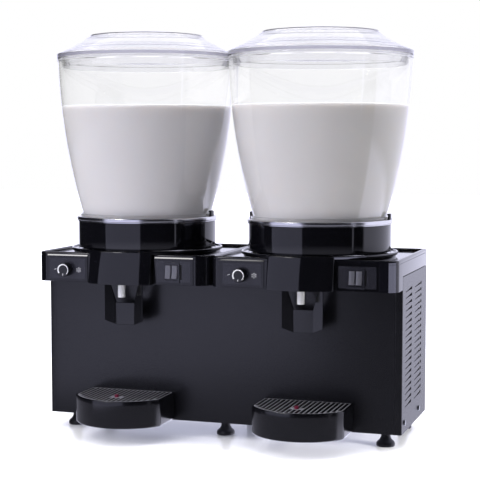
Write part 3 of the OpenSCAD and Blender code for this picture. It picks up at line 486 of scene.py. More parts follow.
for side, x in MODULES.items():
    # Painted shade: lilac-grey bands on the lids' edges
    add_piece(f"{side}_lid_edges", lid_edges(x), frosted_edge_shade, f"{side}_lid")
    add_piece(f"{side}_clear_bowl", [on_bowl(bowl_profile(), x)], clear_bowl, f"{side}_bowl",
              [f"{side}_bowl"])
    add_piece(f"{side}_clear_lid", [on_bowl(lid_profile(), x)], clear_lid, f"{side}_lid",
              [f"{side}_lid"])
    add_piece(f"{side}_drink", [on_bowl(drink_profile(), x)], drink, f"{side}_bowl")

# Seat rings with their clips, and the collars

SEAT_IN = 98.1
CLIP_R = 109.0
CLIP_TOP = SEAT_Z + 9
CLIP_HALF = 6.5


def seat_ring(x):
    """Polished ring and the cup's flange under it, as one turned outline."""
    return on_bowl(fillet([(SEAT_IN, FLANGE_Z, 0), (SEAT_IN, SEAT_Z, 0.8), (SEAT_R, SEAT_Z, 1.6),
                           (SEAT_R, FLANGE_Z + 0.4, 0.8), (SEAT_R - 2, FLANGE_Z, 0)]), x)


def clips(x):
    """Two small upright clips on the ring, each notched on its inner side."""
    low = SEAT_Z - 0.4
    outline = fillet([(CLIP_R - 4, low, 0), (CLIP_R, low, 0), (CLIP_R, CLIP_TOP, 1),
                      (CLIP_R - 4.4, CLIP_TOP, 0.6), (CLIP_R - 4.4, CLIP_TOP - 2.5, 0.4),
                      (CLIP_R - 3, CLIP_TOP - 3, 0.4)])
    one = soft_prism(outline, (BOWL_Y - CLIP_HALF, BOWL_Y + CLIP_HALF), MOULDED_EDGE, "y")
    return [shifted(one, x), shifted(mirrored(one), x)]


rings = [seat_ring(x) for x in MODULES.values()]
add_piece("polished_seat_rings", rings, stainless, "cabinet", ["seat_rings"])
add_piece("bowl_clips", [part for x in MODULES.values() for part in clips(x)], matt_black, "cabinet")

collar_in = COLLAR_R - WALL_T
collar = fillet([(collar_in, PEDESTAL_Z, 0), (COLLAR_R, PEDESTAL_Z, 0.6), (COLLAR_R, COLLAR_Z, 1.2),
                 (collar_in, COLLAR_Z, 0.6)])
for side, x in MODULES.items():
    add_piece(f"{side}_gloss_collar", [on_bowl(collar, x)], gloss_black, "cabinet", [f"{side}_collar"])

# Decks: rimmed tray, pods, apron and the ring round the pedestal

DECK_CORNER = 14.0
JOINT_CORNER = 28.0
REAR_CORNER = 3.0


def front_corner(x, sign):
    """Radius of a deck's front corner: the left deck is rounder where the two decks meet."""
    return JOINT_CORNER if x < 0 < sign else DECK_CORNER


def deck_ring(x, inset, height=None):
    """One ring of the deck's outline; with no height it follows the stepped lower edge."""
    half = MODULE_HALF - inset
    front = POD_Y + inset
    back = CABINET_D - inset
    bay = APRON_HALF
    bay_z = CEILING_Z - 2
    rear_r = max(REAR_CORNER - inset, 0.3)
    left_r = front_corner(x, -1) - inset
    right_r = front_corner(x, 1) - inset
    right_back = fillet([(half, 0, 0), (half, back, rear_r), (-half, back, rear_r), (-half, 0, 0)],
                        closed=False)
    left_front = fillet([(-half, 0, 0), (-half, front, left_r), (-bay, front, 0)], 8, closed=False)
    right_front = fillet([(bay, front, 0), (half, front, right_r), (half, 0, 0)], 8, closed=False)
    middle = [(-bay, front), (bay, front)]
    ring = []
    stretches = ((right_back, DECK_Z), (left_front, POD_Z), (middle, bay_z), (right_front, POD_Z))
    for stretch, lower in stretches:
        for u, v in stretch:
            ring.append((x + u, v, lower if height is None else height))
    return ring


def deck_tray(x):
    rim_w = 7.0
    rim_r = 3.0
    inner_r = 3.6
    groove = 0.6
    groove_z = RIM_Z - 6.2
    rings = [deck_ring(x, WALL_T, CEILING_Z), deck_ring(x, WALL_T), deck_ring(x, 0)]
    for inset, z in ((0, groove_z), (groove, groove_z + 0.2), (groove, groove_z + 1), (0, groove_z + 1.2)):
        rings.append(deck_ring(x, inset, z))
    for turn in QUARTER_TURN:
        rings.append(deck_ring(x, rim_r * (1 - cos(turn)), RIM_Z - rim_r * (1 - sin(turn))))
    for turn in QUARTER_TURN:
        inset = rim_w - inner_r * (1 - sin(turn))
        rings.append(deck_ring(x, inset, RIM_Z - inner_r * (1 - cos(turn))))
    rings.append(deck_ring(x, rim_w, FLOOR_Z))
    return loft(rings)


def apron_ring(x, inset, z):
    """Open outline of the apron at a height: side, round front, side."""
    half = APRON_HALF - inset
    proud = 0.6
    side_r = 2.5
    drop = (PEDESTAL_Z - z) / (PEDESTAL_Z - POD_Z)
    radius = PEDESTAL_R + proud + (APRON_R - PEDESTAL_R) * drop - inset
    count = 16
    front = [half * (2 * k / count - 1) for k in range(count + 1)]
    corners = [(-half, POD_Y + 1, 0)]
    for k, u in enumerate(front):
        corners.append((u, BOWL_Y - sqrt(radius ** 2 - u ** 2), side_r if k in (0, count) else 0))
    corners.append((half, POD_Y + 1, 0))
    return [(x + u, v, z) for u, v in fillet(corners, closed=False)]


def apron(x):
    top = PEDESTAL_Z
    edge = 2.5
    rings = [apron_ring(x, WALL_T, CEILING_Z), apron_ring(x, WALL_T, POD_Z + 0.6),
             apron_ring(x, WALL_T - 0.6, POD_Z), apron_ring(x, 0.8, POD_Z), apron_ring(x, 0.2, POD_Z + 0.3),
             apron_ring(x, 0, POD_Z + 1)]
    for turn in QUARTER_TURN:
        rings.append(apron_ring(x, edge * (1 - cos(turn)), top - edge * (1 - sin(turn))))
    return loft(rings, closed=False, caps=(False, True))


def deck_inside(x):
    """Side walls of the lever's bay and the pods' lower plates."""
    back = -0.2
    plate_t = 2.5
    front = POD_Y + WALL_T
    parts = []
    for sign in (-1, 1):
        wall = sorted((x + sign * (APRON_HALF - WALL_T), x + sign * APRON_HALF))
        near = x + sign * APRON_HALF
        far = x + sign * (MODULE_HALF - WALL_T)
        corner = (far, front, front_corner(x, sign) - WALL_T)
        plate = fillet([(near, front, 0), corner, (far, back, 0), (near, back, 0)], 8)
        parts.append(soft_block(wall, (POD_Y, back), (POD_Z, CEILING_Z), MOULDED_EDGE))
        parts.append(soft_prism(plate, (POD_Z, POD_Z + plate_t), MOULDED_EDGE))
    return parts


def pedestal_ring(x):
    """Thin lip round the pedestal, the groove inside it and the wall under it."""
    plate_in = 98.0
    plate_z = PEDESTAL_Z - 3
    under_z = PEDESTAL_Z - 5
    wall_in = PEDESTAL_R - 10
    wall_out = PEDESTAL_R - 3
    wall_top = PEDESTAL_Z - 2
    bead = fillet([(plate_in, under_z, 0), (plate_in, plate_z, 0), (PEDESTAL_R - 3.6, plate_z, 0.6),
                   (PEDESTAL_R - 2.6, PEDESTAL_Z, 0.9), (PEDESTAL_R, PEDESTAL_Z, 1.3),
                   (PEDESTAL_R, under_z + 0.2, 1.0), (PEDESTAL_R - 5, under_z, 0)], 6)
    wall = [(wall_in, FLOOR_Z - 1), (wall_out, FLOOR_Z - 1), (wall_out, wall_top), (wall_in, wall_top)]
    low, faces = on_bowl(wall, x)
    behind = POD_Y + WALL_T + 1
    kept = [(px, max(py, behind), pz) for px, py, pz in low]
    return [on_bowl(bead, x), (kept, faces)]


for side, x in MODULES.items():
    parts = [deck_tray(x)] + deck_inside(x) + pedestal_ring(x)
    add_piece(f"{side}_gloss_deck", parts, gloss_black, "cabinet", [f"{side}_deck"])
    add_piece(f"{side}_gloss_apron", [apron(x)], gloss_black, "cabinet")

# Fascia plates, knobs, printed marks and switches

CONTROL_Z = 255.0
KNOB_X = -92.0
SWITCH_X = 80.0
KNOB_R = 10.5
KNOB_Y = -54.0
KNOB_PLATE = (-124.0, -56.5)
SWITCH_PLATE = (50.5, 114.0)
PLATE_TOP = 277.8
PLATE_CUT = 2.2
FILM_INSET = 4.0
ARC_R = 8.9
ARC_WIDTHS = (2.2, 0.9)
ARC_TURNS = (-128, 136)
FROST_X = -71.5
FROST_R = 4.3
TICK_X = -112.5


def rounded_rectangle(u, v, radius):
    """Outline between limits with round corners."""
    return fillet([(u[0], v[0], radius), (u[1], v[0], radius), (u[1], v[1], radius), (u[0], v[1], radius)])


def tapered_ring(centre, radius, widths, turns, y, steps=40):
    """Part of a ring on a face turned to the front, which narrows from its first end to its last."""
    points = []
    for k in range(steps + 1):
        share = k / steps
        turn = radians(turns[0] + (turns[1] - turns[0]) * share)
        for r in (radius - widths[0] - (widths[1] - widths[0]) * share, radius):
            points.append((centre[0] + r * sin(turn), y, centre[1] + r * cos(turn)))
    faces = [(2 * k, 2 * k + 1, 2 * k + 3, 2 * k + 2) for k in range(steps)]
    return points, faces


def stroke(start, stop, width, y):
    """Thin straight mark on a face turned to the front."""
    along = (Vector(stop) - Vector(start)).normalized() * (width / 2)
    across = Vector((-along.y, along.x))
    ends = [Vector(start) - across, Vector(start) + across, Vector(stop) + across, Vector(stop) - across]
    return [(u, y, v) for u, v in ends], [(0, 1, 2, 3)]


def frost_mark(centre, radius, y):
    """Six-armed frost sign: each arm carries two short twigs. Lengths are shares of the radius."""
    gap = 0.2
    fork_at = 0.6
    twig_length = 0.32
    twig_turn = 40
    parts = []
    for k in range(6):
        turn = radians(60 * k)
        arm = Vector((sin(turn), cos(turn)))
        tip = Vector(centre) + arm * radius
        parts.append(stroke(Vector(centre) + arm * radius * gap, tip, 0.5, y))
        for sign in (-1, 1):
            lean = radians(60 * k + sign * twig_turn)
            twig = Vector((sin(lean), cos(lean))) * radius * twig_length
            fork = Vector(centre) + arm * radius * fork_at
            parts.append(stroke(fork, fork + twig, 0.4, y))
    return parts


def fascia_plate(u):
    """Raised plate on a pod; its upper edge is cut back and catches the light."""
    low = POD_Z + 0.5
    back = POD_Y + 1.8
    outline = [(FASCIA_Y, low), (FASCIA_Y, PLATE_TOP - PLATE_CUT), (POD_Y, PLATE_TOP), (back, PLATE_TOP),
               (back, low)]
    return soft_prism(outline, u, MOULDED_EDGE, "x")


def fascia_film(u):
    """Thin printed film set in from the plate's edges."""
    outline = rounded_rectangle((u[0] + FILM_INSET, u[1] - FILM_INSET), (POD_Z + 4.5, PLATE_TOP - 5.5), 1.5)
    return soft_prism(outline, (FASCIA_Y - 0.2, FASCIA_Y + 0.5), 0.1, "y", 1)


for side, x in MODULES.items():
    spans = [(x + low, x + high) for low, high in (KNOB_PLATE, SWITCH_PLATE)]
    add_piece(f"{side}_fascia_plates", [fascia_plate(u) for u in spans], gloss_black, "cabinet",
              crease=12)
    add_piece(f"{side}_fascia_films", [fascia_film(u) for u in spans], label_film, "cabinet")

    knob_at = (x + KNOB_X, CONTROL_Z)
    knob_back = FASCIA_Y - 0.3
    knob = fillet([(0, knob_back, 0), (KNOB_R, knob_back, 0.4), (KNOB_R - 0.3, KNOB_Y, 1.0),
                   (0, KNOB_Y, 0)], closed=False)
    add_piece(f"{side}_turned_knob", [revolve(knob, knob_at, "y", 64)], matt_black, f"{side}_knob",
              [f"{side}_knob"])
    face = KNOB_Y - 0.02
    pointer = stroke((knob_at[0] - 0.4, CONTROL_Z - 8.6), (knob_at[0] + 0.2, CONTROL_Z - 5.6), 0.8, face)
    marks = [tapered_ring(knob_at, ARC_R, ARC_WIDTHS, ARC_TURNS, face), pointer]
    add_piece(f"{side}_knob_marks", marks, white_print, f"{side}_knob")
    print_y = FASCIA_Y - 0.22
    tick_x = x + TICK_X
    prints = frost_mark((x + FROST_X, CONTROL_Z - 0.5), FROST_R, print_y)
    prints.append(stroke((tick_x, CONTROL_Z - 0.8), (tick_x + 4, CONTROL_Z + 0.4), 0.5, print_y))
    add_piece(f"{side}_fascia_prints", prints, white_print, "cabinet")

BEZEL_W = 25.5
BEZEL_H = 30.5
BEZEL_Y = FASCIA_Y - 1.8
ROCKER_X = 5.2
ROCKER_W = 8.4
ROCKER_H = 20.0
ROCKER_Y = -38.0
ROCKER_TILT = radians(-8)
OPENING_HALF_W = 4.5
OPENING_HALF_H = 11.4


def bezel(x):
    centre = x + SWITCH_X
    outline = rounded_rectangle((centre - BEZEL_W / 2, centre + BEZEL_W / 2),
                                (CONTROL_Z - BEZEL_H / 2, CONTROL_Z + BEZEL_H / 2), 1.5)
    holes = []
    for sign in (-1, 1):
        middle = centre + sign * ROCKER_X
        holes.append(rounded_rectangle((middle - OPENING_HALF_W, middle + OPENING_HALF_W),
                                       (CONTROL_Z - OPENING_HALF_H, CONTROL_Z + OPENING_HALF_H), 0.5))
    return pierced_plate(outline, holes, (BEZEL_Y, FASCIA_Y + 1), 0.3, "y")


def rocker(centre):
    """One dished rocker, stored in its off position."""
    half = ROCKER_H / 2
    outline = [(-7.0, -half), (-6.0, -half * 0.5), (-5.6, 0), (-6.0, half * 0.5), (-7.0, half),
               (-1, half - 1), (3.5, 2.5), (3.5, -2.5), (-1, 1 - half)]
    turned = []
    for u, v in outline:
        turned.append((ROCKER_Y + u * cos(ROCKER_TILT) - v * sin(ROCKER_TILT),
                       CONTROL_Z + u * sin(ROCKER_TILT) + v * cos(ROCKER_TILT)))
    return soft_prism(turned, (centre - ROCKER_W / 2, centre + ROCKER_W / 2), MOULDED_EDGE, "x")


def painted_shadow_strip(x):
    """Painted shadow: a dull black strip on the fascia, just right of a switch, standing in for the shade
    beside the bezel.
    """
    start = x + SWITCH_X + BEZEL_W / 2 + 0.6
    return soft_block((start, start + 2.6), (FASCIA_Y - 0.3, FASCIA_Y + 0.5),
                      (CONTROL_Z - 10.5, CONTROL_Z + 11.5), 0.1)


add_piece("switch_bezels", [bezel(x) for x in MODULES.values()], label_film, "cabinet")
# Painted shadow: black strips beside the switches
add_piece("switch_side_slots", [painted_shadow_strip(x) for x in MODULES.values()], shadow_black, "cabinet")
for side, x in MODULES.items():
    for kind, sign in (("mixer", -1), ("cooling", 1)):
        add_piece(f"{side}_{kind}_paddle", [rocker(x + SWITCH_X + sign * ROCKER_X)], rocker_grey,
                  f"{side}_{kind}_rocker", [f"{side}_{kind}_rocker"])

# Spouts, levers and the taps' return springs

SPOUT_Y = -43.0
SPOUT_R = 5.5
SPOUT_IN = 4.0
SPOUT_Z = 215.5
SPOUT_TOP = 243.0
LEVER_Y = -30.0
LEVER_T = 3.0
PAD_HALF = 14.5
PAD_LOW = 172.0
PAD_TOP = 206.0
WING_X = 31.0
WING_Y = -37.0
WING_TOP = 248.0
WING_IN = 20.0
BAR_HALF = 20.0
BAR_Z = (250.0, 258.0)
EAR_X = (18.9, 22.9)
EAR_HALF = 5.5
EAR_TOP = 271.4
VALVE_Z = 254.0
SPRING_FRONT = -11.0
SPRING_BACK = -3.0
SPRING_R = 4.5
SPRING_WIRE_R = 0.5
SPRING_TURNS = 4


def spout(x):
    tube = fillet([(SPOUT_IN, SPOUT_Z, 0.4), (SPOUT_R, SPOUT_Z, 0.5), (SPOUT_R, SPOUT_TOP, 0),
                   (SPOUT_IN, SPOUT_TOP, 0)])
    return revolve(tube, (x, SPOUT_Y), steps=48)


def lever_plate(x):
    """Pad and two wings that come forward, as one bent plate with rounded edges."""
    front = [(-PAD_HALF, LEVER_Y, PAD_LOW), (PAD_HALF, LEVER_Y, PAD_LOW), (PAD_HALF, LEVER_Y, PAD_TOP),
             (-PAD_HALF, LEVER_Y, PAD_TOP)]
    flats = [(0, 1, 2, 3)]
    wing = ((WING_X, PAD_LOW + 7), (WING_X, WING_TOP), (WING_IN, WING_TOP), (WING_IN, WING_TOP - 4),
            (WING_IN + 2.5, WING_TOP - 15))
    for sign, low, top in ((1, 1, 2), (-1, 0, 3)):
        first = len(front)
        for u, z in wing:
            lean = (u - PAD_HALF) / (WING_X - PAD_HALF)
            front.append((sign * u, LEVER_Y + (WING_Y - LEVER_Y) * lean, z))
        flats.append((low, first, first + 1, first + 2, first + 3, first + 4, top))
    work = bmesh.new()
    layers = [[work.verts.new((x + px, py + depth, pz)) for px, py, pz in front] for depth in (0, LEVER_T)]
    add_plate(work, layers, flats)
    round_rims(work, 0.6, 2)
    return shell_of(work)


def lever_top(x):
    """Ears on the pin and the bar that presses the valve's rod."""
    parts = [soft_block((x - BAR_HALF, x + BAR_HALF), (LEVER_Y - LEVER_T, LEVER_Y), BAR_Z, MOULDED_EDGE)]
    front = LEVER_Y - EAR_HALF
    back = LEVER_Y + EAR_HALF
    low = POD_Z + 4
    ear = fillet([(front, low, 0.5), (back, low, 0.5), (back, EAR_TOP, 5), (front, EAR_TOP, 5)])
    for sign in (-1, 1):
        parts.append(soft_prism(ear, sorted(x + sign * u for u in EAR_X), MOULDED_EDGE, "x"))
    return parts


def spring_coil(x):
    """Round wire wound along Y; it bears on the tap's back wall and on the valve."""
    rings = []
    steps = 32 * SPRING_TURNS
    first = SPRING_FRONT + SPRING_WIRE_R
    length = SPRING_BACK - SPRING_FRONT - 2 * SPRING_WIRE_R
    for i in range(steps + 1):
        turn = 2 * pi * SPRING_TURNS * i / steps
        ring = []
        for k in range(10):
            around = 2 * pi * k / 10
            radius = SPRING_R + SPRING_WIRE_R * cos(around)
            y = first + length * i / steps + SPRING_WIRE_R * sin(around)
            ring.append((x + radius * cos(turn), y, VALVE_Z + radius * sin(turn)))
        rings.append(ring)
    return loft(rings)


add_piece("pale_spouts", [spout(x) for x in MODULES.values()], spout_pale, "cabinet", ["spouts"])
for side, x in MODULES.items():
    add_piece(f"{side}_push_lever", [lever_plate(x)] + lever_top(x), satin_black, f"{side}_lever",
              [f"{side}_lever"], crease=15)
    coil = add_piece(f"{side}_wound_spring", [spring_coil(x)], zinc, "cabinet", [f"{side}_tap_spring"])
    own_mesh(coil)

# Drip trays, grilles and floats

TRAY_ARC = 79.5
TRAY_ARC_Y = -21.5
TRAY_HALF = 69.0
TRAY_CORNER = 14.0
TRAY_BACK = -0.3
TRAY_Z = 26.0
TRAY_TOP = 67.5
LEDGE_Z = 64.4
GRILLE_Z = 64.7
GRILLE_TOP = 67.2
GRILLE_INSET = 2.9
HOOK_X = 41.4
HOOK_HALF = 6.0
HOOK_Y = (-2.5, 8.0)
HOOK_Z = (57.9, 61.9)
FLOAT_Y = -64.0
FLOAT_R = 11.0
FLOAT_Z = (29.3, 38.3)
STEM_R = 3.2
STEM_TOP = 71.4


def tray_outline(inset):
    """Plan of the tray drawn in by a margin: flat back, straight sides, round corners, round front."""
    half = TRAY_HALF - inset
    back = TRAY_BACK - inset
    corner_x = TRAY_HALF - TRAY_CORNER
    corner_y = TRAY_ARC_Y - sqrt((TRAY_ARC - TRAY_CORNER) ** 2 - corner_x ** 2)
    ends = atan2(corner_x, TRAY_ARC_Y - corner_y)
    right = []
    for k in range(9):
        turn = pi / 2 + (ends - pi / 2) * k / 8
        right.append((corner_x + (TRAY_CORNER - inset) * sin(turn),
                      corner_y - (TRAY_CORNER - inset) * cos(turn)))
    front = []
    for k in range(1, 28):
        turn = ends * (1 - k / 14)
        front.append(((TRAY_ARC - inset) * sin(turn),
                      TRAY_ARC_Y - (TRAY_ARC - inset) * cos(turn)))
    left = [(-u, v) for u, v in reversed(right)]
    return fillet([(-half, back, 3.0), (half, back, 3.0)] + [(u, v, 0) for u, v in right + front + left])


def front_of(outline, u):
    """Front limit of an outline at a place across it."""
    crossings = []
    for (u0, v0), (u1, v1) in zip(outline, outline[1:] + outline[:1]):
        if min(u0, u1) <= u <= max(u0, u1) and u0 != u1:
            crossings.append(v0 + (v1 - v0) * (u - u0) / (u1 - u0))
    return min(crossings)


def drip_tray(x):
    """Skin from the bottom up the outside, over the rim and down past the grille's ledge."""
    steps = [(3.0, TRAY_Z), (1.4, TRAY_Z + 0.4), (0.6, TRAY_Z + 1.4), (0.4, TRAY_Z + 3),
             (0, TRAY_TOP - 7.5), (0, TRAY_TOP - 1.3), (0.2, TRAY_TOP - 0.5), (0.8, TRAY_TOP),
             (1.6, TRAY_TOP), (2.3, TRAY_TOP - 0.3), (2.5, TRAY_TOP - 0.9), (2.5, LEDGE_Z), (4.5, LEDGE_Z),
             (4.5, TRAY_Z + 4), (5.5, TRAY_Z + 3)]
    return loft([[(x + u, v, z) for u, v in tray_outline(inset)] for inset, z in steps])


def tray_hooks(x):
    middles = [x - HOOK_X, x + HOOK_X]
    return [soft_block((u - HOOK_HALF, u + HOOK_HALF), HOOK_Y, HOOK_Z, MOULDED_EDGE) for u in middles]


def grille(x):
    """Slotted plate; every slot runs front to back, and a round eye guides the float."""
    outline = [(x + u, v) for u, v in reversed(tray_outline(GRILLE_INSET))]
    pitch = 6.88
    half_slot = 2.4
    margin = 4.5
    eye_r = 3.6
    solid_r = 6.8
    back = TRAY_BACK - margin
    inside = tray_outline(margin)
    holes = []
    for k in range(-9, 10):
        u = k * pitch
        front = max(front_of(inside, u - half_slot), front_of(inside, u + half_slot))
        spans = [(front, back)]
        if abs(u) < solid_r + half_slot:
            spans = [(front, FLOAT_Y - solid_r), (FLOAT_Y + solid_r, back)]
        for v in spans:
            holes.append(rounded_rectangle((x + u - half_slot, x + u + half_slot), v, 1.2))
    turns = [radians(15 * k) for k in range(24)]
    eye = [(x + eye_r * cos(turn), FLOAT_Y + eye_r * sin(turn)) for turn in turns]
    return pierced_plate(outline, holes + [eye], (GRILLE_Z, GRILLE_TOP), 0.5)


def tray_float(x):
    low, high = FLOAT_Z
    body = fillet([(0, low, 0), (FLOAT_R, low, 1), (FLOAT_R, high, 1), (STEM_R, high, 0.5),
                   (STEM_R, STEM_TOP, 1.2), (0, STEM_TOP, 0)], closed=False)
    return revolve(body, (x, FLOAT_Y), steps=48)


for side, x in MODULES.items():
    add_piece(f"{side}_moulded_tray", [drip_tray(x)] + tray_hooks(x), satin_black, f"{side}_drip_tray",
              [f"{side}_drip_tray"])
    # The grilles carry painted light: pale tops and a darker painted shade on the bars' sides
    add_piece(f"{side}_slotted_grille", [grille(x)], grille_painted_top_light, f"{side}_tray_grille",
              [f"{side}_tray_grille"])
    add_piece(f"{side}_red_float", [tray_float(x)], float_red, f"{side}_tray_float", [f"{side}_tray_float"])

# Side panels with pressed louvres

SHEET_T = 1.2
LOUVRE_ROWS = 19
LOUVRE_PITCH = 9.45
LOUVRE_LOW = PANEL_Z + 36
LOUVRE_COLUMNS = ((24, 48), (96, 54))
PANEL_TOP = DECK_Z - 1.2


def louvre(y, length, z):
    """Outline of one louvre's mouth: a thin curved tail at the front, a round wide head at the back."""
    tail_w = 1.2
    climb = 3.8
    swell = 4.0
    head_r = 2.6
    top = []
    bottom = []
    for k in range(9):
        share = 0.94 * k / 8
        rise = z + 1.4 + climb * share ** 1.5
        top.append((y + length * share, rise))
        bottom.append((y + length * share, rise - tail_w - swell * share ** 2.5))
    head_y = y + length - head_r
    head_z = z + head_r
    turns = [radians(turn) for turn in (60, 20, -20, -60)]
    head = [(head_y + head_r * cos(turn), head_z + head_r * sin(turn)) for turn in turns]
    return top + head + bottom[::-1]


def side_panel(side):
    """A louvred sheet with its front and back edges folded inwards."""
    holes = []
    for y, length in LOUVRE_COLUMNS:
        for k in range(LOUVRE_ROWS):
            holes.append(louvre(y, length, LOUVRE_LOW + k * LOUVRE_PITCH))
    start = 3
    bend = 2.2
    fold = 10
    outer = CABINET_HALF
    inner = CABINET_HALF - SHEET_T
    stop = CABINET_D - start
    flat = [(start, PANEL_Z), (stop, PANEL_Z), (stop, PANEL_TOP), (start, PANEL_TOP)]
    parts = [pierced_plate(flat, holes, (inner, outer), 0, "x")]
    front = fillet([(outer, start, 0), (outer, 0, bend), (outer - fold, 0, 0), (outer - fold, SHEET_T, 0),
                    (inner, SHEET_T, bend - SHEET_T), (inner, start, 0)])
    parts.append(soft_prism(front, (PANEL_Z, PANEL_TOP), 0.05, "z", 1))
    points, faces = parts[-1]
    parts.append(([(px, CABINET_D - py, pz) for px, py, pz in points], faces))
    return [mirrored(part) if side < 0 else part for part in parts]


for name, side in (("left_side_panel", -1), ("right_side_panel", 1)):
    add_piece(f"louvred_{name}", side_panel(side), powder_coat, "cabinet", [name])

# Feet

FEET = {"left": -250.0, "middle": 0.0, "right": 250.0}
FOOT_ROWS = {"front": 33.0, "rear": 162.0}
SOLE_R = 14.0
STUD_R = 4.5
STUD_LOW = 23.5
STUD_TOP = 37.2

foot = fillet([(0, 0, 0), (SOLE_R - 0.8, 0, 0.5), (SOLE_R, 1.2, 0.4), (SOLE_R, 4, 0.8),
               (SOLE_R - 1.1, 6.5, 1.5), (9.1, 10, 3), (7.1, 14, 3), (6.5, STUD_LOW, 0.4),
               (STUD_R, STUD_LOW, 0), (STUD_R, STUD_TOP, 0.5), (0, STUD_TOP, 0)], closed=False)
for depth, y in FOOT_ROWS.items():
    for place, x in FEET.items():
        node = f"{depth}_{place}_foot"
        add_piece(f"{node}_moulding", [revolve(foot, (x, y), steps=48)], matt_black, node, [node])

# CAD nodes that are shown as they are

CAD_LOOKS = {
    powder_coat: ["front_panel", "rear_panel"],
    zinc: ["panel_screws", "base_pan", "motor_plate", "lever_pins", "left_magnet_drive",
           "right_magnet_drive", "left_tap_valve", "right_tap_valve"],
    enamel: ["compressor", "fan_motor", "drive_motors"],
    fins: ["condenser"],
    copper: ["cooling_coils"],
    white_plastic: ["fan_blade", "left_impeller", "right_impeller"],
    matt_black: ["thermostats", "switch_bodies", "tap_bodies", "mains_inlet"],
    foam: ["insulation_rings"],
    rubber: ["bowl_seals"],
    stainless: ["cooling_cups"],
}
for material, names in CAD_LOOKS.items():
    for name in names:
        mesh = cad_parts[name].data
        mesh.materials.clear()
        mesh.materials.append(material)

# Floor, surroundings and light

FLOOR_LIFT = 0.75
FLOOR_HALF = 6.0
FLOOR_FRONT = -0.42
FLOOR_BACK = 9.0
FADE_NEAR = 0.6
FADE_FAR = 1.2
SHADE_REACH = 0.12
SHADED = 0.3
OPEN = 0.95

# White studio paper with painted light: the camera sees a glow on it where nothing is near, so that it runs
# into the white behind; near the machine the glow is held back and the lamps' real shadows stay
paper = surface("white_studio_paper", "#f4f4f4", 0.12, 2.0, 0.01)
tree = paper.node_tree
path = add_node(tree, "LightPath")
nearby = add_node(tree, "AmbientOcclusion", {"Distance": SHADE_REACH, "samples": 8})
clear = add_node(tree, "MapRange", {"From Min": SHADED, "From Max": OPEN, "To Max": FLOOR_LIFT,
                                    "Value": nearby.outputs["AO"]})
place = add_node(tree, "TexCoord")
reach = add_node(tree, "VectorMath", {"operation": "LENGTH", 0: place.outputs["Object"]}).outputs["Value"]
fade = add_node(tree, "MapRange", {"From Min": FADE_NEAR, "From Max": FADE_FAR, "Value": reach})
raised = add_node(tree, "Math", {"operation": "MAXIMUM", 0: clear, 1: fade})
# Painted light: glow added for camera rays only, none where the paper is close under the machine
camera_glow = add_node(tree, "Math", {"operation": "MULTIPLY", 0: path.outputs["Is Camera Ray"], 1: raised})
shader = tree.nodes["Principled BSDF"]
shader.inputs["Emission Color"].default_value = linear("#f6f6ff")
tree.links.new(camera_glow.outputs["Value"], shader.inputs["Emission Strength"])

sheet = bpy.data.meshes.new("studio_floor")
sheet.from_pydata([(-FLOOR_HALF, FLOOR_FRONT, 0), (FLOOR_HALF, FLOOR_FRONT, 0), (FLOOR_HALF, FLOOR_BACK, 0),
                   (-FLOOR_HALF, FLOOR_BACK, 0)], [], [(0, 1, 2, 3)])
sheet.materials.append(paper)
studio_floor = bpy.data.objects.new("studio_floor", sheet)
studio_floor.visible_glossy = False
scene.collection.objects.link(studio_floor)

CARD_TINT = "#d4d5f4"
LAMP_TINT = "#fffdfc"


def area_light(name, centre, target, size, radiance, tint, only=(), reflected=True, spread=180):
    """A rectangular soft light of the radiance that a mirror would show; it may light only some pieces."""
    lamp = bpy.data.lights.new(name, "AREA")
    lamp.shape = "RECTANGLE"
    lamp.size = size[0] * MM
    lamp.size_y = size[1] * MM
    lamp.spread = radians(spread)
    lamp.energy = radiance * pi * lamp.size * lamp.size_y
    lamp.color = linear(tint)[:3]
    holder = bpy.data.objects.new(name, lamp)
    holder.location = row(centre)
    aim = Vector(row(target)) - Vector(row(centre))
    holder.rotation_euler = aim.to_track_quat("-Z", "Y").to_euler()
    holder.visible_camera = False
    holder.visible_glossy = reflected
    if only:
        lit_pieces = bpy.data.collections.new(f"{name}_receivers")
        for piece in only:
            lit_pieces.objects.link(bpy.data.objects[piece])
        holder.light_linking.receiver_collection = lit_pieces
    scene.collection.objects.link(holder)


CLEAR = (clear_bowl, clear_lid, frosted_edge_shade)
solid_pieces = [piece.name for piece in bpy.data.objects
                if piece.type == "MESH" and piece.data.materials and piece.data.materials[0] not in CLEAR]
# A white card at the front left, just out of view, gives the lit bands on the black mouldings
area_light("front_card", (-216, -456, 300), (0, -225, 300), (590, 620), 1.15, CARD_TINT, solid_pieces)
# Overhead soft box: white floor and a soft light from above and behind
area_light("overhead_box", (-200, 450, 2200), (0, 150, 0), (2200, 2200), 1.7, LAMP_TINT, reflected=False)
# Low wash from the right, on the floor only: thins the shadow under the right tray
area_light("floor_wash", (1300, -300, 260), (110, -50, 0), (400, 200), 8.0, LAMP_TINT, ["studio_floor"],
           spread=40)
# High soft box at the front left: lights the drink without showing in the upright black faces
area_light("high_box", (-1500, -1500, 1900), (0, 0, 350), (1400, 1400), 1.0, LAMP_TINT)
# Low card at the front right: lights the right deck's round corner
area_light("low_card", (420, -180, 225), (275, -35, 225), (420, 130), 4.5, CARD_TINT, ["right_gloss_deck"])
# Strips high at the front left: the bright lines along the fascia plates' upper edges
area_light("edge_strip", (-1085, -1640, 1790), (-140, -41, 277), (520, 280), 15.0, LAMP_TINT)
area_light("edge_strip_end", (-714, -1753, 1902), (51, -41, 277), (130, 90), 6.0, LAMP_TINT)

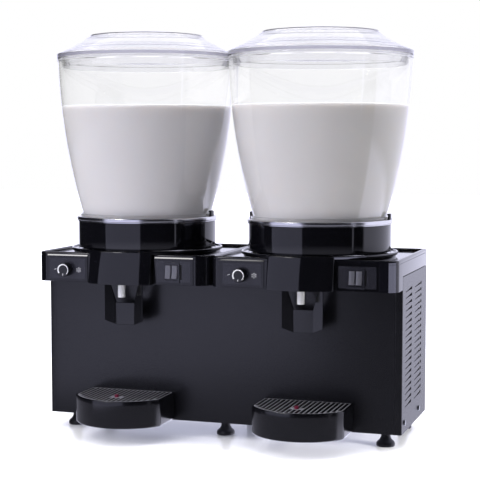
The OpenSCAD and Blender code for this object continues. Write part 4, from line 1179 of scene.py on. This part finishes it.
# White surroundings: mirrors see white behind and to the right, and dark in front and to the left.
# Azimuths turn from the front to the right, and a strength of 1 is white. Each edge is a pair of angles of
# rise, in degrees, between which one strength turns into the next. The fill lights only matt faces.
WHITE_AZIMUTH = radians(156)
WHITE_HALF = radians(67)
STRIP_AZIMUTH = radians(69)
STRIP_HALF = radians(1.0)
MIRROR_WHITE = 1.5
MIRROR_FLOOR = 1.0
MIRROR_UNDER = 2.6
MIRROR_SKY = 0.9
MIRROR_DARK = 0.02
MIRROR_DIM = 0.45
FILL_AZIMUTH = radians(-80)
FILL_LEFT = 0.88
FILL_RIGHT = 0.03
FILL_BACK = 2.2
BACK_AZIMUTH = radians(150)
BACK_HALF = radians(40)
INNER_GLEAM = 1.0
UNDER_EDGE = (-16, -13)
FLOOR_EDGE = (-13, -6)
SKY_EDGE = (35, 50)
DIM_EDGE = (-11, -7)
STRIP_EDGE = (-12, -8)

world = bpy.data.worlds.new("white_studio")
scene.world = world
world.use_nodes = True
tree = world.node_tree
ground = tree.nodes["Background"]
way = add_node(tree, "TexCoord").outputs["Generated"]
flat_way = add_node(tree, "VectorMath", {"operation": "MULTIPLY", 0: way, 1: (1, 1, 0)})
level = add_node(tree, "VectorMath", {"operation": "NORMALIZE", 0: flat_way})
rise = add_node(tree, "SeparateXYZ", {0: way}).outputs["Z"]


def facing(azimuth, half, soft, low, high):
    """Strength that is high for directions within a half angle of an azimuth, and low elsewhere."""
    towards = (sin(azimuth), -cos(azimuth), 0)
    near = add_node(tree, "VectorMath", {"operation": "DOT_PRODUCT", 0: level, 1: towards})
    return add_node(tree, "MapRange", {"From Min": cos(half + soft), "From Max": cos(half - soft),
                                       "To Min": low, "To Max": high, "Value": near.outputs["Value"]})


def by_height(strength, *steps):
    """Strength that starts at a value low down and turns to others, each between two angles of rise."""
    total = add_node(tree, "Math", {"operation": "ADD", 0: strength, 1: 0})
    for angles, target in steps:
        low, high = [sin(radians(angle)) for angle in angles]
        change = add_node(tree, "MapRange", {"From Min": low, "From Max": high, "To Max": target - strength,
                                             "Value": rise})
        total = add_node(tree, "Math", {"operation": "ADD", 0: total, 1: change})
        strength = target
    return total


wide = facing(WHITE_AZIMUTH, WHITE_HALF, radians(2), 0, 1)
strip = facing(STRIP_AZIMUTH, STRIP_HALF, radians(0.5), 0, 1)
upper = by_height(0, (STRIP_EDGE, 1))
upper_strip = add_node(tree, "Math", {"operation": "MULTIPLY", 0: strip, 1: upper})
share = add_node(tree, "Math", {"operation": "MAXIMUM", 0: wide, 1: upper_strip})
white = by_height(MIRROR_UNDER, (UNDER_EDGE, MIRROR_FLOOR), (FLOOR_EDGE, MIRROR_WHITE),
                  (SKY_EDGE, MIRROR_SKY))
dark = by_height(MIRROR_DIM, (DIM_EDGE, MIRROR_DARK))
mirror = add_node(tree, "Mix", {0: share, 2: dark, 3: white})
path = add_node(tree, "LightPath")
glossy = path.outputs["Is Glossy Ray"]
side_fill = facing(FILL_AZIMUTH, radians(90), radians(70), FILL_RIGHT, FILL_LEFT)
back_fill = facing(BACK_AZIMUTH, BACK_HALF, radians(25), 0, FILL_BACK)
fill = add_node(tree, "Math", {"operation": "ADD", 0: side_fill, 1: back_fill})
soft = add_node(tree, "Math", {"operation": "MULTIPLY", 0: fill, 1: path.outputs["Is Diffuse Ray"]})
seen = add_node(tree, "Math", {"operation": "MAXIMUM", 0: path.outputs["Is Camera Ray"],
                               1: path.outputs["Is Transmission Ray"]})
lit = add_node(tree, "Math", {"operation": "MAXIMUM", 0: soft, 1: seen})
depth = path.outputs["Transmission Depth"]
inside = add_node(tree, "Math", {"operation": "GREATER_THAN", 0: depth, 1: 0.5})
gleam = add_node(tree, "Mix", {0: inside, 2: mirror, 3: INNER_GLEAM})
shown = add_node(tree, "Math", {"operation": "MULTIPLY", 0: gleam, 1: glossy})
power = add_node(tree, "Math", {"operation": "MAXIMUM", 0: shown, 1: lit})
mirrored_ray = add_node(tree, "Math", {"operation": "SUBTRACT", "use_clamp": True, 0: glossy,
                                       1: path.outputs["Is Transmission Ray"]})
tint = add_node(tree, "Mix", {"data_type": "RGBA", 0: mirrored_ray, 6: linear("#ffffff"),
                              7: linear("#e4e4fa")})
tree.links.new(tint.outputs[2], ground.inputs["Color"])
tree.links.new(power.outputs["Value"], ground.inputs["Strength"])

# Camera at the photo's place

CAMERA_AT = (640.9, -1857.9, 449.0)
YAW = radians(18.1)
PITCH = radians(4.34)

camera_data = bpy.data.cameras.new("photo_camera")
camera_data.sensor_width = 36.0
camera_data.lens = 97.9
camera_data.clip_start = 0.01
camera_data.clip_end = 50.0
camera = bpy.data.objects.new("photo_camera", camera_data)
scene.collection.objects.link(camera)
camera.location = row(CAMERA_AT)
looks = Vector((-sin(YAW) * cos(PITCH), cos(YAW) * cos(PITCH), -sin(PITCH)))
camera.rotation_euler = looks.to_track_quat("-Z", "Y").to_euler()
scene.camera = camera
scene.view_settings.view_transform = "Standard"
